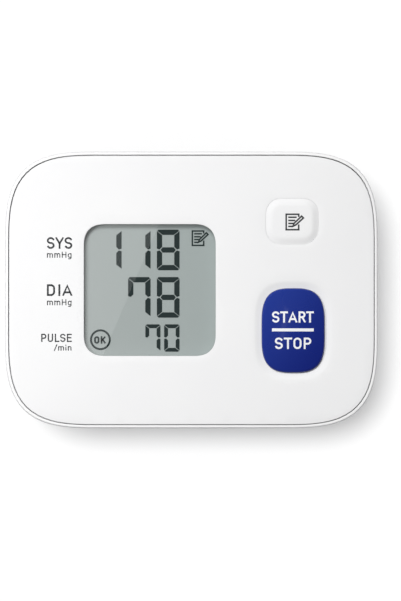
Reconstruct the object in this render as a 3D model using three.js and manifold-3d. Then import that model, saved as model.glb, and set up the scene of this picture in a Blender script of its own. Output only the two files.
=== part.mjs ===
// Wrist blood pressure monitor: a white housing with display and two keys, lying face up on its
// closed cuff. Millimetres. X runs along the housing's long side, Y along the forearm, Z up, and
// the origin is on the floor under the middle of the housing.

import * as THREE from "three";
import { mergeVertices } from "three/addons/utils/BufferGeometryUtils.js";
import Module from "manifold-3d";

const wasm = await Module();
wasm.setup();

// Clearances
const GAP = 0.3; // between pieces that touch, and round what slides
const OVERRUN = 2.0; // how far a cutting shape runs past what it cuts
const SEW = 0.0005; // vertices closer than this are one

// Housing
const CASE_WIDTH = 84.0;
const CASE_HEIGHT = 62.4;
const CASE_CORNER = 22.0; // how far each rounded corner reaches along both sides
const RIM_HEIGHT = 19.5; // back plane to the rim round the front panel
const WALL = 1.8;
const BACK_RADIUS = 6.0; // rounded edge round the back
const DRAFT = 0.5; // how far the side walls lean in towards the back
const RIM_ROUND = 0.4; // rounded outer edge of the rim
const SEAM_INSET = 0.88; // outer face to the middle of the seam
const REBATE_DEPTH = 1.6; // step in the rim that takes the front panel
const CROWN = 0.9; // how far the front panel rises in its middle
const PANEL_EDGE = 0.15; // rounded edge of the front panel
const PANEL_THICKNESS = 1.4; // at the panel's edge
const LIP_DEPTH = 1.2; // locating lip under the panel
const LIP_THICKNESS = 1.0;

// Display
const WINDOW_X = -9.3; // centre, from the middle of the housing
const WINDOW_WIDTH = 29.6;
const WINDOW_CORNER = 4.9;
const PANE_MARGIN = 1.2; // how far the pane reaches behind the panel
const PANE_THICKNESS = 0.9;
const LCD_MARGIN = 1.8; // how far the display glass reaches past the opening
const LCD_THICKNESS = 1.2;
const HOLDER_WALL = 1.6;
const ZEBRA_WIDTH = 1.6;
const ZEBRA_HEIGHT = 0.8;

// Start and stop key
const START_X = 22.9;
const START_Y = -9.3;
const START_WIDTH = 14.3;
const START_LENGTH = 19.4;
const START_CORNER_X = 7.0;
const START_CORNER_Y = 8.2;
const START_PROUD = 0.9; // how far its dome stands above the panel
const DISH_WIDTH = 1.5; // shallow dish in the panel round the key
const DISH_DEPTH = 0.5;

// Memory key
const MEMORY_X = 22.8;
const MEMORY_Y = 15.4;
const MEMORY_WIDTH = 11.6;
const MEMORY_LENGTH = 10.3;
const MEMORY_CORNER = 3.2;
const MEMORY_PROUD = 0.8;
const MEMORY_BEVEL = 1.35;

// Both keys
const KEY_WALL = 1.2;
const KEY_ROUND = 0.9; // rounded top edge of the start key
const KEY_RIB_RADIUS = 1.6; // rib under the cap that presses the switch
const FLANGE_WIDTH = 1.0; // flange that keeps the cap behind the panel
const FLANGE_THICKNESS = 0.7;
const SWITCH_SIZE = 5.0;
const SWITCH_HEIGHT = 1.1;
const PLUNGER_RADIUS = 1.7;
const PLUNGER_HEIGHT = 0.65;
const PLUNGER_ROOM = 0.6; // free depth under a plunger at rest

// Board
const BOARD_THICKNESS = 1.0;
const BOARD_INSET = 2.5; // board edge, in from the housing's outer face
const CHIP_SIZE = 10.0;
const CHIP_HEIGHT = 0.85;

// Cells and battery bay, on the left
const CELL_RADIUS = 5.25;
const CELL_LENGTH = 43.5; // without its nub
const NUB_RADIUS = 2.0;
const NUB_LENGTH = 1.0;
const CELL_PITCH = 11.0; // distance between the two cells
const CELL_INSET = 10.0; // left face to the outer cell's middle
const BAY_WALL = 0.8;
const SPRING_ROOM = 4.6; // between a cell's flat end and its contact
const CONTACT_THICKNESS = 0.4;
const CONTACT_WIDTH = 7.0;
const TAB_WIDTH = 3.0;
const SPRING_WIRE = 0.28; // radius
const SPRING_WIDE = 3.6; // radius of the first turn
const SPRING_NARROW = 2.4; // radius of the last turn

// Battery cover
const COVER_THICKNESS = 1.5;
const GRIP_PROUD = 0.6;
const GRIP_WIDTH = 7.2;
const GRIP_HEIGHT = 6.0;
const GRIP_Y = -0.35;
const GRIP_RIB = 0.5; // width of the grooves between the grip's ribs
const TONGUE_WIDTH = 6.0;
const TONGUE_LENGTH = 4.0;
const TONGUE_THICKNESS = 1.0;
const TONGUE_Y = 15.0;

// Case screws
const SCREW_RADIUS = 0.95;
const SCREW_HEAD_RADIUS = 2.0;
const SCREW_HEAD_HEIGHT = 1.4;
const SCREW_RECESS = 0.5; // how deep the head lies under the back plane
const SCREW_TIP = 0.5; // blind depth left past the screw's end
const SOCKET_RADIUS = 1.0; // drive in the head
const SOCKET_DEPTH = 0.7;
const BOSS_RADIUS = 2.6;
const SCREW_LEFT_INSET_X = 31.0; // left face to the screws beside the bay
const SCREW_LEFT_INSET_Y = 6.7; // lower and upper face to the same screws
const SCREW_RIGHT_INSET_X = 9.5;
const SCREW_RIGHT_INSET_Y = 10.7;

// Air system
const PUMP_X = 6.0;
const MOTOR_RADIUS = 5.5;
const MOTOR_LENGTH = 15.0;
const MOTOR_BACK_Y = -21.0;
const MOTOR_BOSS_RADIUS = 2.4;
const MOTOR_BOSS_LENGTH = 1.0;
const SHAFT_RADIUS = 0.75;
const SHAFT_DEPTH = 8.0; // shaft inside the motor
const CRANK_RADIUS = 3.4;
const CRANK_THICKNESS = 2.0;
const CRANK_PIN_RADIUS = 0.8;
const HEAD_WIDTH = 13.0;
const HEAD_LENGTH = 11.7;
const HEAD_HEIGHT = 11.2;
const CHAMBER_RADIUS = 4.4;
const CHAMBER_DEPTH = 5.0;
const MANIFOLD_INSET = 18.0; // right face to its middle
const MANIFOLD_Y = 2.0;
const MANIFOLD_SIZE = 6.0;
const BARB_LENGTH = 2.7;
const BARB_RADIUS = 0.95;
const BARB_BORE = 0.45;
const VALVE_RADIUS = 4.0;
const VALVE_LENGTH = 13.5;
const VALVE_FRONT_Y = -9.5;
const VALVE_PIN_RADIUS = 0.8;
const VALVE_PIN_LENGTH = 4.0;
const VALVE_TRAVEL = 0.5;
const SENSOR_INSET = 6.4; // right face to its middle
const SENSOR_WIDTH = 6.0;
const SENSOR_HEIGHT = 8.0;
const HOSE_INNER = 1.3; // radius
const HOSE_OUTER = 1.9; // radius
const HOSE_BEND = 4.5;
const POST_RADIUS = 2.0; // post that carries the manifold

// Cuff
const LOOP_HALF_WIDTH = 33.0; // outer face of the closed cuff
const LOOP_HEIGHT = 54.0;
const BAND = 4.0; // thickness of the padded band
const CUFF_WIDTH = 52.0;
const CLOTH = 0.7;
const CURLER = 0.7;
const BLADDER = 1.0;
const BINDING_WIDTH = 1.4;
const FLOOR_CUT = 0.5; // depth of the flat under the loop
const TAIL = 1.8; // thickness of the closing tab
const HOOK = 0.8; // thickness of the hook patch
const HOOK_MARGIN = 4.0; // cloth left free beside the hook patch
const BLADDER_MARGIN = 6.0; // cloth left free beside the bladder
const CURLER_MARGIN = 3.0;

// Saddle between housing and cuff
const PLATE_CROWN = 2.4; // its thickness in the middle
const PLATE_WIDTH = 36.0;
const PLATE_LENGTH = 40.0;
const PLATE_SCREW_RADIUS = 0.9;
const PLATE_SCREW_HEAD = 1.8;
const PLATE_SCREW_HEAD_HEIGHT = 1.0;
const PLATE_SCREW_LENGTH = 4.0;
const PLATE_SCREW_LEFT_X = -6.0;
const PLATE_SCREW_RIGHT_X = 16.2;
const PLATE_SCREW_Y = 14.0;
const NOZZLE_X = 11.0;
const NOZZLE_Y = 13.0;
const NOZZLE_RADIUS = 1.8;
const NOZZLE_TOP = 3.6; // its shoulder, above the housing's back plane

// Shapes that are ratios, angles or counts
const CASE_POWER_SHARE = 3.3; // how square the housing's corners are
const WINDOW_POWER_SHARE = 2.5;
const KEY_POWER_SHARE = 3.0;
const LOOP_POWER_SHARE = 2.4;
const CORNER_STEPS = 6;
const ROUND_SIDES = 16;
const SMALL_SIDES = 10;
const HOSE_SIDES = 8;
const LOOP_STEP = THREE.MathUtils.degToRad(7.5);
const FIXED_START = THREE.MathUtils.degToRad(22); // the fixed cuff runs from here over the top
const SIDE_START = THREE.MathUtils.degToRad(305);
const TAIL_START = THREE.MathUtils.degToRad(350);
const TAIL_END = THREE.MathUtils.degToRad(410);

// Places inside the housing, from its middle
const LEFT = -CASE_WIDTH / 2;
const RIGHT = CASE_WIDTH / 2;
const CELL_X = LEFT + CELL_INSET;
const CONTACT_SEAT = GAP + CONTACT_THICKNESS;
const BAY_HALF_LENGTH = (CELL_LENGTH + NUB_LENGTH + SPRING_ROOM + GAP) / 2 + CONTACT_SEAT;
const SCREW_LEFT_X = LEFT + SCREW_LEFT_INSET_X;
const SCREW_LEFT_Y = CASE_HEIGHT / 2 - SCREW_LEFT_INSET_Y;
const SCREW_RIGHT_X = RIGHT - SCREW_RIGHT_INSET_X;
const SCREW_RIGHT_Y = CASE_HEIGHT / 2 - SCREW_RIGHT_INSET_Y;
const HEAD_BACK_Y = MOTOR_BACK_Y + MOTOR_LENGTH + GAP;
const MANIFOLD_X = RIGHT - MANIFOLD_INSET;
const SENSOR_X = RIGHT - SENSOR_INSET;

// Heights inside the housing, from its back plane
const CASE_BACK = LOOP_HEIGHT + GAP + PLATE_CROWN + GAP;
const CELL_Z = WALL + GAP + CELL_RADIUS;
const BAY_TOP = CELL_Z + CELL_RADIUS + GAP;
const BOARD_Z = BAY_TOP + BAY_WALL + GAP;
const BOARD_TOP = BOARD_Z + BOARD_THICKNESS;
const PANEL_UNDER = RIM_HEIGHT - PANEL_THICKNESS;
const ZEBRA_TOP = BOARD_TOP + GAP + ZEBRA_HEIGHT;
const LCD_Z = ZEBRA_TOP + GAP;
const PANE_Z = LCD_Z + LCD_THICKNESS + GAP;
const AIR_Z = WALL + GAP + MOTOR_RADIUS;
const SWITCH_TOP = BOARD_TOP + GAP + SWITCH_HEIGHT;
const FLANGE_LOW = SWITCH_TOP + PLUNGER_HEIGHT + GAP / 2;

// Materials
const material = (color, roughness, metalness = 0) =>
  new THREE.MeshStandardMaterial({ color, roughness, metalness });
const whiteShell = material(0xf6f7f6, 0.5);
const blueKey = material(0x1f3789, 0.3);
const clearPane = material(0xdfe5e3, 0.05);
const displayGlass = material(0xa9b2af, 0.25);
const blackPlastic = material(0x26282b, 0.6);
const boardGreen = material(0x1f5a3a, 0.5);
const steel = material(0xb9bcc0, 0.3, 0.9);
const silicone = material(0xd9dcdb, 0.6);
const greyRubber = material(0x4a4d50, 0.7);
const cellWrap = material(0x2f4a63, 0.35, 0.3);
const outerCloth = material(0x34383f, 0.9);
const innerCloth = material(0x5d636b, 0.9);
const bindingCloth = material(0x24272c, 0.9);

// A point of an outline in the plane.
const flat = (x, y) => new THREE.Vector2(x, y);

// Closed mesh to solid: the shared vertices are merged first.
function solidOf(geometry) {
  const bare = geometry.index ? geometry.toNonIndexed() : geometry.clone();
  bare.deleteAttribute("normal");
  bare.deleteAttribute("uv");
  const merged = mergeVertices(bare, SEW);
  return new wasm.Manifold(
    new wasm.Mesh({
      numProp: 3,
      vertProperties: merged.attributes.position.array,
      triVerts: new Uint32Array(merged.index.array),
    }),
  );
}

// Solid back to a geometry that a mesh can hold.
function geometryOf(solid) {
  const made = solid.getMesh();
  const geometry = new THREE.BufferGeometry();
  geometry.setAttribute("position", new THREE.BufferAttribute(made.vertProperties, 3));
  geometry.setIndex(new THREE.BufferAttribute(made.triVerts, 1));
  return geometry.toNonIndexed();
}

const join = (first, ...others) => others.reduce((all, one) => all.add(one), first);
const cut = (first, ...others) => others.reduce((left, one) => left.subtract(one), first);

// Hangs a named mesh in a group. The shape is a geometry or a solid.
function place(group, name, shape, finish) {
  const geometry = shape.isBufferGeometry ? shape : geometryOf(shape);
  geometry.computeVertexNormals();
  const mesh = new THREE.Mesh(geometry, finish);
  mesh.name = name;
  group.add(mesh);
  return mesh;
}

// Rectangle whose corners are quarter superellipses, counter-clockwise.
function outline({ width, height, cornerX, cornerY, power, x = 0, y = 0, inset = 0 }) {
  const reachX = Math.min(cornerX, width / 2) - inset;
  const reachY = Math.min(cornerY, height / 2) - inset;
  const middleX = width / 2 - inset - reachX;
  const middleY = height / 2 - inset - reachY;
  const points = [];
  for (let quarter = 0; quarter < 4; quarter++) {
    for (let step = 0; step <= CORNER_STEPS; step++) {
      const angle = (quarter + step / CORNER_STEPS) * (Math.PI / 2);
      const u = Math.abs(Math.cos(angle));
      const v = Math.abs(Math.sin(angle));
      const norm = (u ** power + v ** power) ** (1 / power);
      const sideX = quarter === 0 || quarter === 3 ? 1 : -1;
      const sideY = quarter < 2 ? 1 : -1;
      const point = flat(
        x + sideX * (middleX + (reachX * u) / norm),
        y + sideY * (middleY + (reachY * v) / norm),
      );
      if (!points.length || points.at(-1).distanceTo(point) > SEW) points.push(point);
    }
  }
  if (points.at(-1).distanceTo(points[0]) <= SEW) points.pop();
  return points;
}

// Straight-sided solid over an outline, from one height to another.
function slab(points, low, high) {
  const shape = new THREE.Shape(points);
  const geometry = new THREE.ExtrudeGeometry(shape, { depth: high - low, bevelEnabled: false });
  return solidOf(geometry.translate(0, 0, low));
}

// Solid through rings of equal point counts, from the bottom up, closed by flat ends.
function loft(rings) {
  const count = rings[0].length;
  const points = rings.flat();
  const index = [];
  for (let ring = 0; ring < rings.length - 1; ring++) {
    for (let i = 0; i < count; i++) {
      const a = ring * count + i;
      const b = ring * count + ((i + 1) % count);
      index.push(a, b, b + count, a, b + count, a + count);
    }
  }
  for (const ring of [0, rings.length - 1]) {
    const middle = rings[ring].reduce((sum, p) => sum.add(p), new THREE.Vector3());
    points.push(middle.divideScalar(count));
    for (let i = 0; i < count; i++) {
      const a = ring * count + i;
      const b = ring * count + ((i + 1) % count);
      const top = ring > 0;
      index.push(top ? a : b, top ? b : a, points.length - 1);
    }
  }
  const geometry = new THREE.BufferGeometry().setFromPoints(points);
  geometry.setIndex(index);
  return solidOf(geometry);
}

const raised = (points, z) => points.map((p) => new THREE.Vector3(p.x, p.y, z));

function block(x0, x1, y0, y1, z0, z1) {
  const geometry = new THREE.BoxGeometry(x1 - x0, y1 - y0, z1 - z0);
  return solidOf(geometry.translate((x0 + x1) / 2, (y0 + y1) / 2, (z0 + z1) / 2));
}

// Round bar between two points.
function rod(from, to, radius, sides = SMALL_SIDES) {
  const along = new THREE.Vector3().subVectors(to, from);
  const geometry = new THREE.CylinderGeometry(radius, radius, along.length(), sides);
  const turn = new THREE.Quaternion().setFromUnitVectors(
    new THREE.Vector3(0, 1, 0),
    along.clone().normalize(),
  );
  geometry.applyQuaternion(turn);
  const middle = new THREE.Vector3().addVectors(from, to).divideScalar(2);
  return solidOf(geometry.translate(middle.x, middle.y, middle.z));
}

const at = (x, y, z) => new THREE.Vector3(x, y, z);
const upright = (x, y, z0, z1, radius, sides) => rod(at(x, y, z0), at(x, y, z1), radius, sides);

// Outlines that several pieces share.
const caseOutline = (inset) =>
  outline({
    width: CASE_WIDTH,
    height: CASE_HEIGHT,
    cornerX: CASE_CORNER,
    cornerY: CASE_CORNER,
    power: CASE_POWER_SHARE,
    inset,
  });
const windowOutline = (grow) =>
  outline({
    width: WINDOW_WIDTH,
    height: WINDOW_WIDTH,
    cornerX: WINDOW_CORNER,
    cornerY: WINDOW_CORNER,
    power: WINDOW_POWER_SHARE,
    x: WINDOW_X,
    inset: -grow,
  });
const startOutline = (grow) =>
  outline({
    width: START_WIDTH,
    height: START_LENGTH,
    cornerX: START_CORNER_X,
    cornerY: START_CORNER_Y,
    power: KEY_POWER_SHARE,
    x: START_X,
    y: START_Y,
    inset: -grow,
  });
const memoryOutline = (grow) =>
  outline({
    width: MEMORY_WIDTH,
    height: MEMORY_LENGTH,
    cornerX: MEMORY_CORNER,
    cornerY: MEMORY_CORNER,
    power: KEY_POWER_SHARE,
    x: MEMORY_X,
    y: MEMORY_Y,
    inset: -grow,
  });

// Height of the crowned front panel over a point between its corners.
function faceHeight(x, y) {
  const share = Math.max(Math.abs(x) / (CASE_WIDTH / 2), Math.abs(y) / (CASE_HEIGHT / 2));
  return RIM_HEIGHT + CROWN * (1 - share * share);
}

// How far the housing's outer face lies inside its outline at a height: a round edge at the
// back, then a wall that leans out a little up to the rim.
function sideInset(z) {
  if (z < BACK_RADIUS) {
    const rise = BACK_RADIUS - z;
    return DRAFT + BACK_RADIUS - Math.sqrt(BACK_RADIUS * BACK_RADIUS - rise * rise);
  }
  return (DRAFT * (RIM_HEIGHT - z)) / (RIM_HEIGHT - BACK_RADIUS);
}

// Places of the four case screws and the four screws of the saddle.
const caseScrewPlaces = [
  [SCREW_LEFT_X, SCREW_LEFT_Y],
  [SCREW_LEFT_X, -SCREW_LEFT_Y],
  [SCREW_RIGHT_X, SCREW_RIGHT_Y],
  [SCREW_RIGHT_X, -SCREW_RIGHT_Y],
];
const plateScrewPlaces = [
  [PLATE_SCREW_LEFT_X, PLATE_SCREW_Y],
  [PLATE_SCREW_LEFT_X, -PLATE_SCREW_Y],
  [PLATE_SCREW_RIGHT_X, PLATE_SCREW_Y],
  [PLATE_SCREW_RIGHT_X, -PLATE_SCREW_Y],
];

const monitor = new THREE.Group();
const housing = new THREE.Group();
housing.position.z = CASE_BACK;
const cuff = new THREE.Group();
monitor.add(housing, cuff);

// Heights at which the tub's rings lie: close together round the back edge.
function tubHeights(start) {
  const heights = [];
  for (let step = 0; step <= CORNER_STEPS / 2; step++) {
    const angle = (step / (CORNER_STEPS / 2)) * (Math.PI / 2);
    const z = BACK_RADIUS * (1 - Math.cos(angle));
    if (z > start) heights.push(z);
  }
  return [start, ...heights];
}

// Outside of the tub, up to the rim.
function tubOutside() {
  const rings = tubHeights(0).map((z) => raised(caseOutline(sideInset(z)), z));
  const shoulder = RIM_HEIGHT - RIM_ROUND;
  rings.push(raised(caseOutline(sideInset(shoulder)), shoulder));
  rings.push(raised(caseOutline(RIM_ROUND / 4), RIM_HEIGHT - RIM_ROUND / 3));
  rings.push(raised(caseOutline(RIM_ROUND), RIM_HEIGHT));
  return loft(rings);
}

// Space inside walls of one thickness, from a floor to past the rim.
function tubInside(wall, floor) {
  const rings = tubHeights(floor).map((z) => raised(caseOutline(sideInset(z) + wall), z));
  rings.push(raised(caseOutline(wall), RIM_HEIGHT + OVERRUN));
  return loft(rings);
}

// Rear case: tub with battery bay, bosses, pump side cradle and the holes in its back.
function rearCase() {
  const bayInner = CELL_X + CELL_PITCH + CELL_RADIUS + GAP;
  const bayEnd = BAY_HALF_LENGTH + BAY_WALL;
  const bay = block(LEFT, bayInner + BAY_WALL, -bayEnd, bayEnd, WALL / 2, BAY_TOP + BAY_WALL);
  const pocket = block(
    LEFT - OVERRUN,
    bayInner,
    -BAY_HALF_LENGTH,
    BAY_HALF_LENGTH,
    WALL,
    BAY_TOP,
  );
  const bosses = caseScrewPlaces.map(([x, y]) =>
    upright(x, y, WALL / 2, BOARD_Z - GAP, BOSS_RADIUS, ROUND_SIDES),
  );
  const screwHoles = caseScrewPlaces.flatMap(([x, y]) => {
    const recess = SCREW_RECESS + SCREW_HEAD_HEIGHT + GAP;
    return [
      upright(x, y, -OVERRUN, RIM_HEIGHT, SCREW_RADIUS + GAP),
      upright(x, y, -OVERRUN, recess, SCREW_HEAD_RADIUS + GAP, ROUND_SIDES),
    ];
  });
  const plateHoles = plateScrewPlaces.map(([x, y]) =>
    upright(x, y, -OVERRUN, WALL + OVERRUN, PLATE_SCREW_RADIUS + GAP),
  );
  const nozzleHole = upright(NOZZLE_X, NOZZLE_Y, -OVERRUN, WALL + OVERRUN, NOZZLE_RADIUS + GAP);
  const rebate = slab(
    caseOutline(SEAM_INSET - GAP / 2),
    RIM_HEIGHT - REBATE_DEPTH,
    RIM_HEIGHT + OVERRUN,
  );
  const manifoldPost = upright(
    MANIFOLD_X,
    MANIFOLD_Y,
    WALL / 2,
    AIR_Z - MANIFOLD_SIZE / 2 - GAP,
    POST_RADIUS,
  );
  const valveBack = VALVE_FRONT_Y - VALVE_LENGTH;
  const cradle = cut(
    block(
      MANIFOLD_X - VALVE_RADIUS,
      MANIFOLD_X + VALVE_RADIUS,
      valveBack + BOSS_RADIUS,
      VALVE_FRONT_Y - BOSS_RADIUS,
      WALL / 2,
      AIR_Z - VALVE_RADIUS / 2,
    ),
    rod(
      at(MANIFOLD_X, valveBack, AIR_Z),
      at(MANIFOLD_X, VALVE_FRONT_Y, AIR_Z),
      VALVE_RADIUS + GAP,
      ROUND_SIDES,
    ),
  );
  const slots = contactPlaces().map(({ x, side }) => {
    const y = side * (BAY_HALF_LENGTH - GAP - CONTACT_THICKNESS / 2);
    const reach = CONTACT_THICKNESS / 2 + GAP;
    const half = TAB_WIDTH / 2 + GAP;
    return block(x - half, x + half, y - reach, y + reach, BAY_TOP - OVERRUN, RIM_HEIGHT);
  });
  const shell = cut(tubOutside(), tubInside(WALL, WALL));
  const full = join(shell, bay.intersect(tubOutside()), ...bosses, manifoldPost, cradle);
  return cut(full, pocket, rebate, nozzleHole, ...screwHoles, ...plateHoles, ...slots);
}

// The crowned top of the front panel, as a solid down to a height.
function crownedBlock(low) {
  const inset = SEAM_INSET + GAP / 2;
  const rings = [raised(caseOutline(inset), low)];
  rings.push(raised(caseOutline(inset), RIM_HEIGHT - PANEL_EDGE));
  const edge = caseOutline(inset + PANEL_EDGE);
  for (const share of [1, 3 / 4, 1 / 2, 1 / 4]) {
    const height = RIM_HEIGHT + CROWN * (1 - share * share);
    rings.push(edge.map((p) => at(p.x * share, p.y * share, height)));
  }
  return loft(rings);
}

// Front case: crowned panel with the window opening, key holes, locating lip and screw bosses.
function frontCase() {
  const lipOutside = WALL + GAP;
  const lip = cut(
    slab(caseOutline(lipOutside), PANEL_UNDER - LIP_DEPTH, PANEL_UNDER + GAP),
    slab(caseOutline(lipOutside + LIP_THICKNESS), RIM_HEIGHT - CASE_HEIGHT, RIM_HEIGHT),
  );
  const bosses = caseScrewPlaces.map(([x, y]) =>
    upright(x, y, BOARD_TOP + GAP, PANEL_UNDER + GAP, BOSS_RADIUS, ROUND_SIDES),
  );
  const pilots = caseScrewPlaces.map(([x, y]) =>
    upright(x, y, BOARD_TOP - OVERRUN, PANEL_UNDER + GAP, SCREW_RADIUS + GAP),
  );
  const top = RIM_HEIGHT + CROWN + OVERRUN;
  const opening = slab(windowOutline(0), PANEL_UNDER - OVERRUN, top);
  const seat = slab(
    windowOutline(PANE_MARGIN + GAP),
    PANEL_UNDER - OVERRUN,
    PANE_Z + PANE_THICKNESS + GAP,
  );
  const startFace = faceHeight(START_X, START_Y);
  const startHole = slab(startOutline(GAP), PANEL_UNDER - OVERRUN, top);
  const dish = loft([
    raised(startOutline(GAP), startFace - DISH_DEPTH),
    raised(startOutline(DISH_WIDTH), startFace),
    raised(startOutline(DISH_WIDTH), top),
  ]);
  const memoryHole = slab(memoryOutline(GAP), PANEL_UNDER - OVERRUN, top);
  const full = join(crownedBlock(PANEL_UNDER), lip, ...bosses);
  return cut(full, opening, seat, startHole, dish, memoryHole, ...pilots);
}

place(housing, "rear_case", rearCase(), whiteShell);
place(housing, "front_case", frontCase(), whiteShell);

// Display window: flat clear pane in a seat behind the panel.
place(
  housing,
  "display_window",
  slab(windowOutline(PANE_MARGIN), PANE_Z, PANE_Z + PANE_THICKNESS),
  clearPane,
);

// A key: hollow cap with a flange behind the panel and a rib over its switch.
function keyCap(grown, x, y, topRings) {
  const flange = slab(grown(FLANGE_WIDTH), FLANGE_LOW, FLANGE_LOW + FLANGE_THICKNESS);
  const ceiling = RIM_HEIGHT - KEY_WALL / 4;
  const body = loft([raised(grown(0), FLANGE_LOW + FLANGE_THICKNESS / 2), ...topRings]);
  const hollow = slab(grown(-KEY_WALL), FLANGE_LOW - OVERRUN, ceiling);
  const rib = upright(x, y, FLANGE_LOW, ceiling + KEY_WALL / 4, KEY_RIB_RADIUS);
  return join(cut(join(flange, body), hollow), rib);
}

function startKey() {
  const face = faceHeight(START_X, START_Y);
  const top = face + START_PROUD;
  const shrunk = (share, z) =>
    startOutline(-KEY_ROUND).map((p) =>
      at(START_X + (p.x - START_X) * share, START_Y + (p.y - START_Y) * share, z),
    );
  return keyCap(startOutline, START_X, START_Y, [
    raised(startOutline(0), face - KEY_ROUND / 3),
    raised(startOutline(-KEY_ROUND / 3), face + KEY_ROUND / 3),
    raised(startOutline(-KEY_ROUND), face + (START_PROUD * 3) / 5),
    shrunk(3 / 4, face + (START_PROUD * 4) / 5),
    shrunk(1 / 3, top),
  ]);
}

function memoryKey() {
  const face = faceHeight(MEMORY_X, MEMORY_Y);
  return keyCap(memoryOutline, MEMORY_X, MEMORY_Y, [
    raised(memoryOutline(0), face),
    raised(memoryOutline(-MEMORY_BEVEL / 4), face + MEMORY_PROUD / 3),
    raised(memoryOutline((-MEMORY_BEVEL * 2) / 3), face + (MEMORY_PROUD * 5) / 6),
    raised(memoryOutline(-MEMORY_BEVEL), face + MEMORY_PROUD),
  ]);
}

// A switch on the board: square body with a well, and the plunger that goes down in it.
function placeSwitch(name, x, y) {
  const half = SWITCH_SIZE / 2;
  const rest = SWITCH_TOP - GAP;
  const well = upright(x, y, rest - PLUNGER_ROOM, SWITCH_TOP + OVERRUN, PLUNGER_RADIUS + GAP);
  const body = cut(block(x - half, x + half, y - half, y + half, BOARD_TOP + GAP, SWITCH_TOP), well);
  place(housing, name, body, blackPlastic);
  const plunger = upright(x, y, rest, FLANGE_LOW - GAP, PLUNGER_RADIUS, ROUND_SIDES);
  place(housing, name + "_plunger", plunger, greyRubber);
}

place(housing, "start_stop_button", startKey(), blueKey);
place(housing, "memory_button", memoryKey(), whiteShell);
placeSwitch("start_switch", START_X, START_Y);
placeSwitch("memory_switch", MEMORY_X, MEMORY_Y);

// Display stack: glass in its holder, on two conductive rubber strips.
const lcdHalf = WINDOW_WIDTH / 2 + LCD_MARGIN;
const square = (half, z0, z1) =>
  block(WINDOW_X - half, WINDOW_X + half, -half, half, z0, z1);
place(housing, "lcd_panel", square(lcdHalf, LCD_Z, LCD_Z + LCD_THICKNESS), displayGlass);
place(
  housing,
  "lcd_holder",
  cut(
    square(lcdHalf + GAP + HOLDER_WALL, BOARD_TOP + GAP, LCD_Z + LCD_THICKNESS),
    square(lcdHalf + GAP, BOARD_TOP - OVERRUN, PANEL_UNDER),
  ),
  blackPlastic,
);
[1, -1].forEach((side, i) => {
  const outer = side * (lcdHalf - GAP);
  const inner = outer - side * ZEBRA_WIDTH;
  const reach = lcdHalf - ZEBRA_WIDTH;
  const strip = block(
    WINDOW_X - reach,
    WINDOW_X + reach,
    Math.min(outer, inner),
    Math.max(outer, inner),
    BOARD_TOP + GAP,
    ZEBRA_TOP,
  );
  place(housing, "zebra_connector_" + (i + 1), strip, greyRubber);
});

// Circuit board, held between the bosses, and its controller under the display glass.
place(
  housing,
  "circuit_board",
  cut(
    slab(caseOutline(BOARD_INSET), BOARD_Z, BOARD_TOP),
    ...caseScrewPlaces.map(([x, y]) =>
      upright(x, y, BOARD_Z - OVERRUN, BOARD_TOP + OVERRUN, SCREW_RADIUS + GAP),
    ),
  ),
  boardGreen,
);
place(
  housing,
  "microcontroller",
  block(
    WINDOW_X - CHIP_SIZE / 2,
    WINDOW_X + CHIP_SIZE / 2,
    -CHIP_SIZE / 2,
    CHIP_SIZE / 2,
    BOARD_TOP + GAP,
    BOARD_TOP + GAP + CHIP_HEIGHT,
  ),
  blackPlastic,
);

// Case screws: head in the back, shank through the board into the front panel's boss.
caseScrewPlaces.forEach(([x, y], i) => {
  const headTop = SCREW_RECESS + SCREW_HEAD_HEIGHT;
  const screw = cut(
    join(
      upright(x, y, SCREW_RECESS, headTop, SCREW_HEAD_RADIUS, ROUND_SIDES),
      upright(x, y, headTop - GAP, PANEL_UNDER - SCREW_TIP, SCREW_RADIUS),
    ),
    upright(x, y, SCREW_RECESS - OVERRUN, SCREW_RECESS + SOCKET_DEPTH, SOCKET_RADIUS, 6),
  );
  place(housing, "case_screw_" + (i + 1), screw, steel);
});

// Cells: the outer one points its nub to +Y, the inner one to -Y.
function cellPlaces() {
  return [
    { x: CELL_X, side: 1 },
    { x: CELL_X + CELL_PITCH, side: -1 },
  ];
}

// Contact tabs rise through the bay's roof: two at the end with separate contacts, one at the
// end with the bridge.
function contactPlaces() {
  return [
    { x: CELL_X, side: -1 },
    { x: CELL_X + CELL_PITCH, side: -1 },
    { x: CELL_X + CELL_PITCH / 2, side: 1 },
  ];
}

// Conical spring wound along Y: one unbroken wire with closed ends.
function springGeometry(x, wideY, narrowY) {
  const turns = 3;
  const steps = turns * 8;
  const sides = 5;
  const rings = [];
  for (let step = 0; step <= steps; step++) {
    const share = step / steps;
    const angle = share * turns * 2 * Math.PI;
    const radius = THREE.MathUtils.lerp(SPRING_WIDE, SPRING_NARROW, share);
    const y = THREE.MathUtils.lerp(wideY, narrowY, share);
    const ring = [];
    for (let side = 0; side < sides; side++) {
      const around = (side / sides) * 2 * Math.PI;
      const r = radius + SPRING_WIRE * Math.cos(around);
      ring.push(
        at(
          x + r * Math.cos(angle),
          y + SPRING_WIRE * Math.sin(around),
          CELL_Z + r * Math.sin(angle),
        ),
      );
    }
    rings.push(ring);
  }
  return rings;
}

cellPlaces().forEach(({ x, side }, i) => {
  const inner = BAY_HALF_LENGTH - CONTACT_SEAT;
  const nubEnd = side * (inner - GAP);
  const shoulder = nubEnd - side * NUB_LENGTH;
  const back = shoulder - side * CELL_LENGTH;
  const cell = join(
    rod(at(x, back, CELL_Z), at(x, shoulder, CELL_Z), CELL_RADIUS, ROUND_SIDES),
    rod(at(x, shoulder - side * GAP, CELL_Z), at(x, nubEnd, CELL_Z), NUB_RADIUS),
  );
  place(housing, "battery_" + (i + 1), cell, cellWrap);
  const wide = -side * (inner - GAP - SPRING_WIRE);
  const narrow = back - side * (GAP + SPRING_WIRE);
  const spring = loft(springGeometry(x, wide, narrow));
  place(housing, "contact_spring_" + (i + 1), spring, steel);
});

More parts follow.
